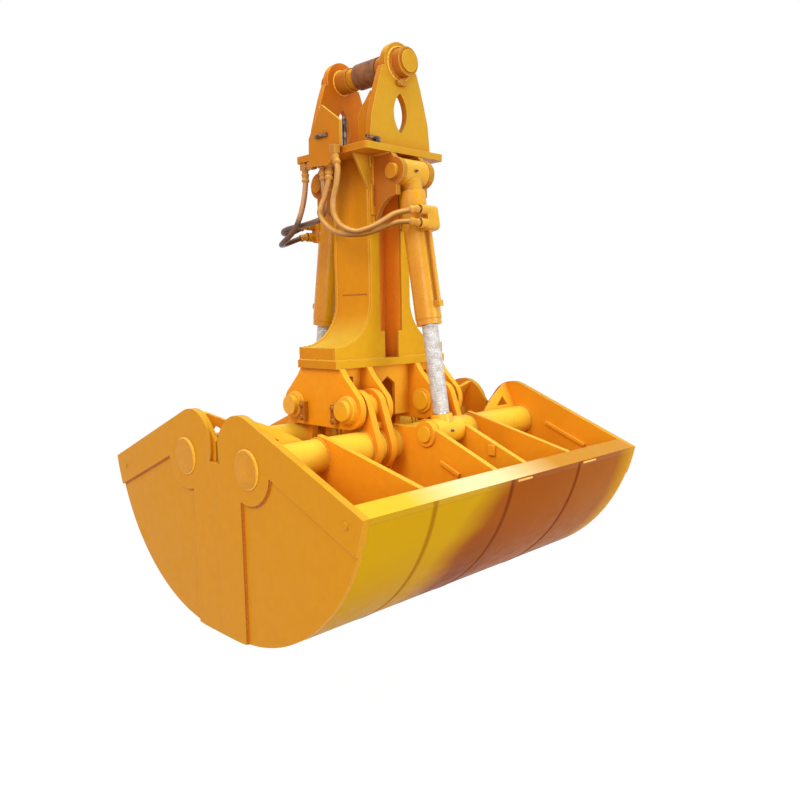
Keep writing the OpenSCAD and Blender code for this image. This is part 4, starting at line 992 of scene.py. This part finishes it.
# %% The rod's line
HEAD_PIN, ROD_PIN = (220, 1639), (378, 670)
rod_dir = Vector((0, ROD_PIN[0] - HEAD_PIN[0], ROD_PIN[1] - HEAD_PIN[1])).normalized()
FILM_START, FILM_END = 580, 914
FILM_RADIUS = 0.0285
film_top = drawn(0, *HEAD_PIN) + rod_dir * FILM_START / 1000
film_low = drawn(0, *HEAD_PIN) + rod_dir * FILM_END / 1000
print("film is", round((film_top - film_low).length, 3), "m long")

# %% The film tree
film_tree, given, made = new_group("bubble_film",
    {"Geometry": ("geometry", None), "Radius": ("value", FILM_RADIUS), "Pitch": ("value", 0.0095),
     "Blister": ("value", 0.0016), "Crease": ("value", 0.008), "Overlap": ("value", 0.0025),
     "Material": ("material", None)}, {"Geometry": "geometry"}, "GeometryNodeTree")
tree = film_tree
spot = add(tree, "GeometryNodeInputPosition").outputs[0]
flat = add(tree, "ShaderNodeSeparateXYZ", {0: spot})
across, down = flat.outputs["X"], flat.outputs["Y"]
# Every second row is shifted by half a pitch, and a blister is a dome round the middle of its cell.
row = calc(tree, "ROUND", calc(tree, "DIVIDE", down, given["Pitch"]))
odd = times(tree, calc(tree, "FLOORED_MODULO", row, 2.0), 0.5)
column = minus(tree, calc(tree, "DIVIDE", across, given["Pitch"]), odd)
off_x = minus(tree, column, calc(tree, "ROUND", column))
off_y = minus(tree, calc(tree, "DIVIDE", down, given["Pitch"]), row)
far_off = plus(tree, times(tree, off_x, off_x), times(tree, off_y, off_y))
dome = minus(tree, 1.0, times(tree, far_off, 5.5), clamp=True)
lift = times(tree, dome, given["Blister"])
turn = calc(tree, "DIVIDE", across, given["Radius"])
tube_x, tube_y = calc(tree, "COSINE", turn), calc(tree, "SINE", turn)
# Creases are where a noise passes its middle value. It runs on the rolled-up place, so it has no seam.
round_spot = add(tree, "ShaderNodeCombineXYZ", {"X": times(tree, tube_x, 0.03),
    "Y": times(tree, tube_y, 0.03), "Z": times(tree, down, 0.7)})
ruck = add(tree, "ShaderNodeTexNoise",
    {"Vector": round_spot.outputs[0], "Scale": 34.0, "Detail": 3.0}).outputs[0]
fold = calc(tree, "ABSOLUTE", minus(tree, ruck, 0.5))
crease = times(tree, minus(tree, 0.06, fold), given["Crease"])
doubled = calc(tree, "GREATER_THAN", tube_x, times(tree, tube_y, 0.4))
lap = times(tree, doubled, given["Overlap"])
radius = plus(tree, given["Radius"], plus(tree, lap, plus(tree, lift, crease)))
rolled = add(tree, "ShaderNodeCombineXYZ", {"X": times(tree, radius, tube_x),
    "Y": times(tree, radius, tube_y), "Z": down})
moved = add(tree, "GeometryNodeSetPosition",
    {"Geometry": given["Geometry"], "Position": rolled.outputs[0]})
joined = add(tree, "GeometryNodeMergeByDistance", {"Geometry": moved.outputs[0], "Distance": 0.0004})
close_tree(tree, joined.outputs[0], given, made)
print("film tree has", len(film_tree.nodes), "nodes")

# %% Film material
film_look, tree = new_material("bubble_film")
glint = spread(tree, noise(tree, 44.0, 3.0, 0.6), 0.36, 0.60)
film_colour = mixed(tree, glint, painted(180, 175, 170), painted(210, 206, 201))
wrinkle = add(tree, "ShaderNodeBump", {"Strength": 0.8, "Distance": 0.004,
    "Height": noise(tree, 50.0, 3.0, 0.6)})
show(tree, add(tree, "ShaderNodeBsdfPrincipled", {"Base Color": film_colour, "Roughness": 0.2,
    "Normal": wrinkle.outputs[0], "Metallic": 0.1, "Coat Weight": 0.4}))
print("film material made")

# %% Wrap the rods
FILM_COLUMNS, FILM_STEP = 120, 0.0021


def wrap_rod(side, sign):
    """A tube of film round one rod, which rides on the rod."""
    length = (film_top - film_low).length
    around = math.tau * FILM_RADIUS
    columns, rows = FILM_COLUMNS, int(length / FILM_STEP)
    points = [(around * i / columns, length * k / rows, 0)
        for k in range(rows + 1) for i in range(columns + 1)]
    faces = []
    for k in range(rows):
        for i in range(columns):
            a = k * (columns + 1) + i
            faces.append((a, a + 1, a + columns + 2, a + columns + 1))
    mesh = bpy.data.meshes.new(side + "_film_grid")
    mesh.from_pydata(points, [], faces)
    film = grown(side + "_bubble_film", mesh, film_tree, {"Material": film_look}, side + "_rod")
    low = Vector((0, sign * film_low.y, film_low.z))
    axis = Vector((0, -sign * rod_dir.y, -rod_dir.z))
    tilt = Vector((0, 0, 1)).rotation_difference(axis).to_matrix().to_4x4()
    film.data.transform(Matrix.Translation(low) @ tilt)
    film.data.update()
    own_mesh(film)
    return film


films = [wrap_rod("near", -1), wrap_rod("far", 1)]
print(len(films), "rods wrapped")

# %% [markdown]
# ## Finish
# The scene is brought up to date.

# %% Finish
bpy.context.view_layer.update()
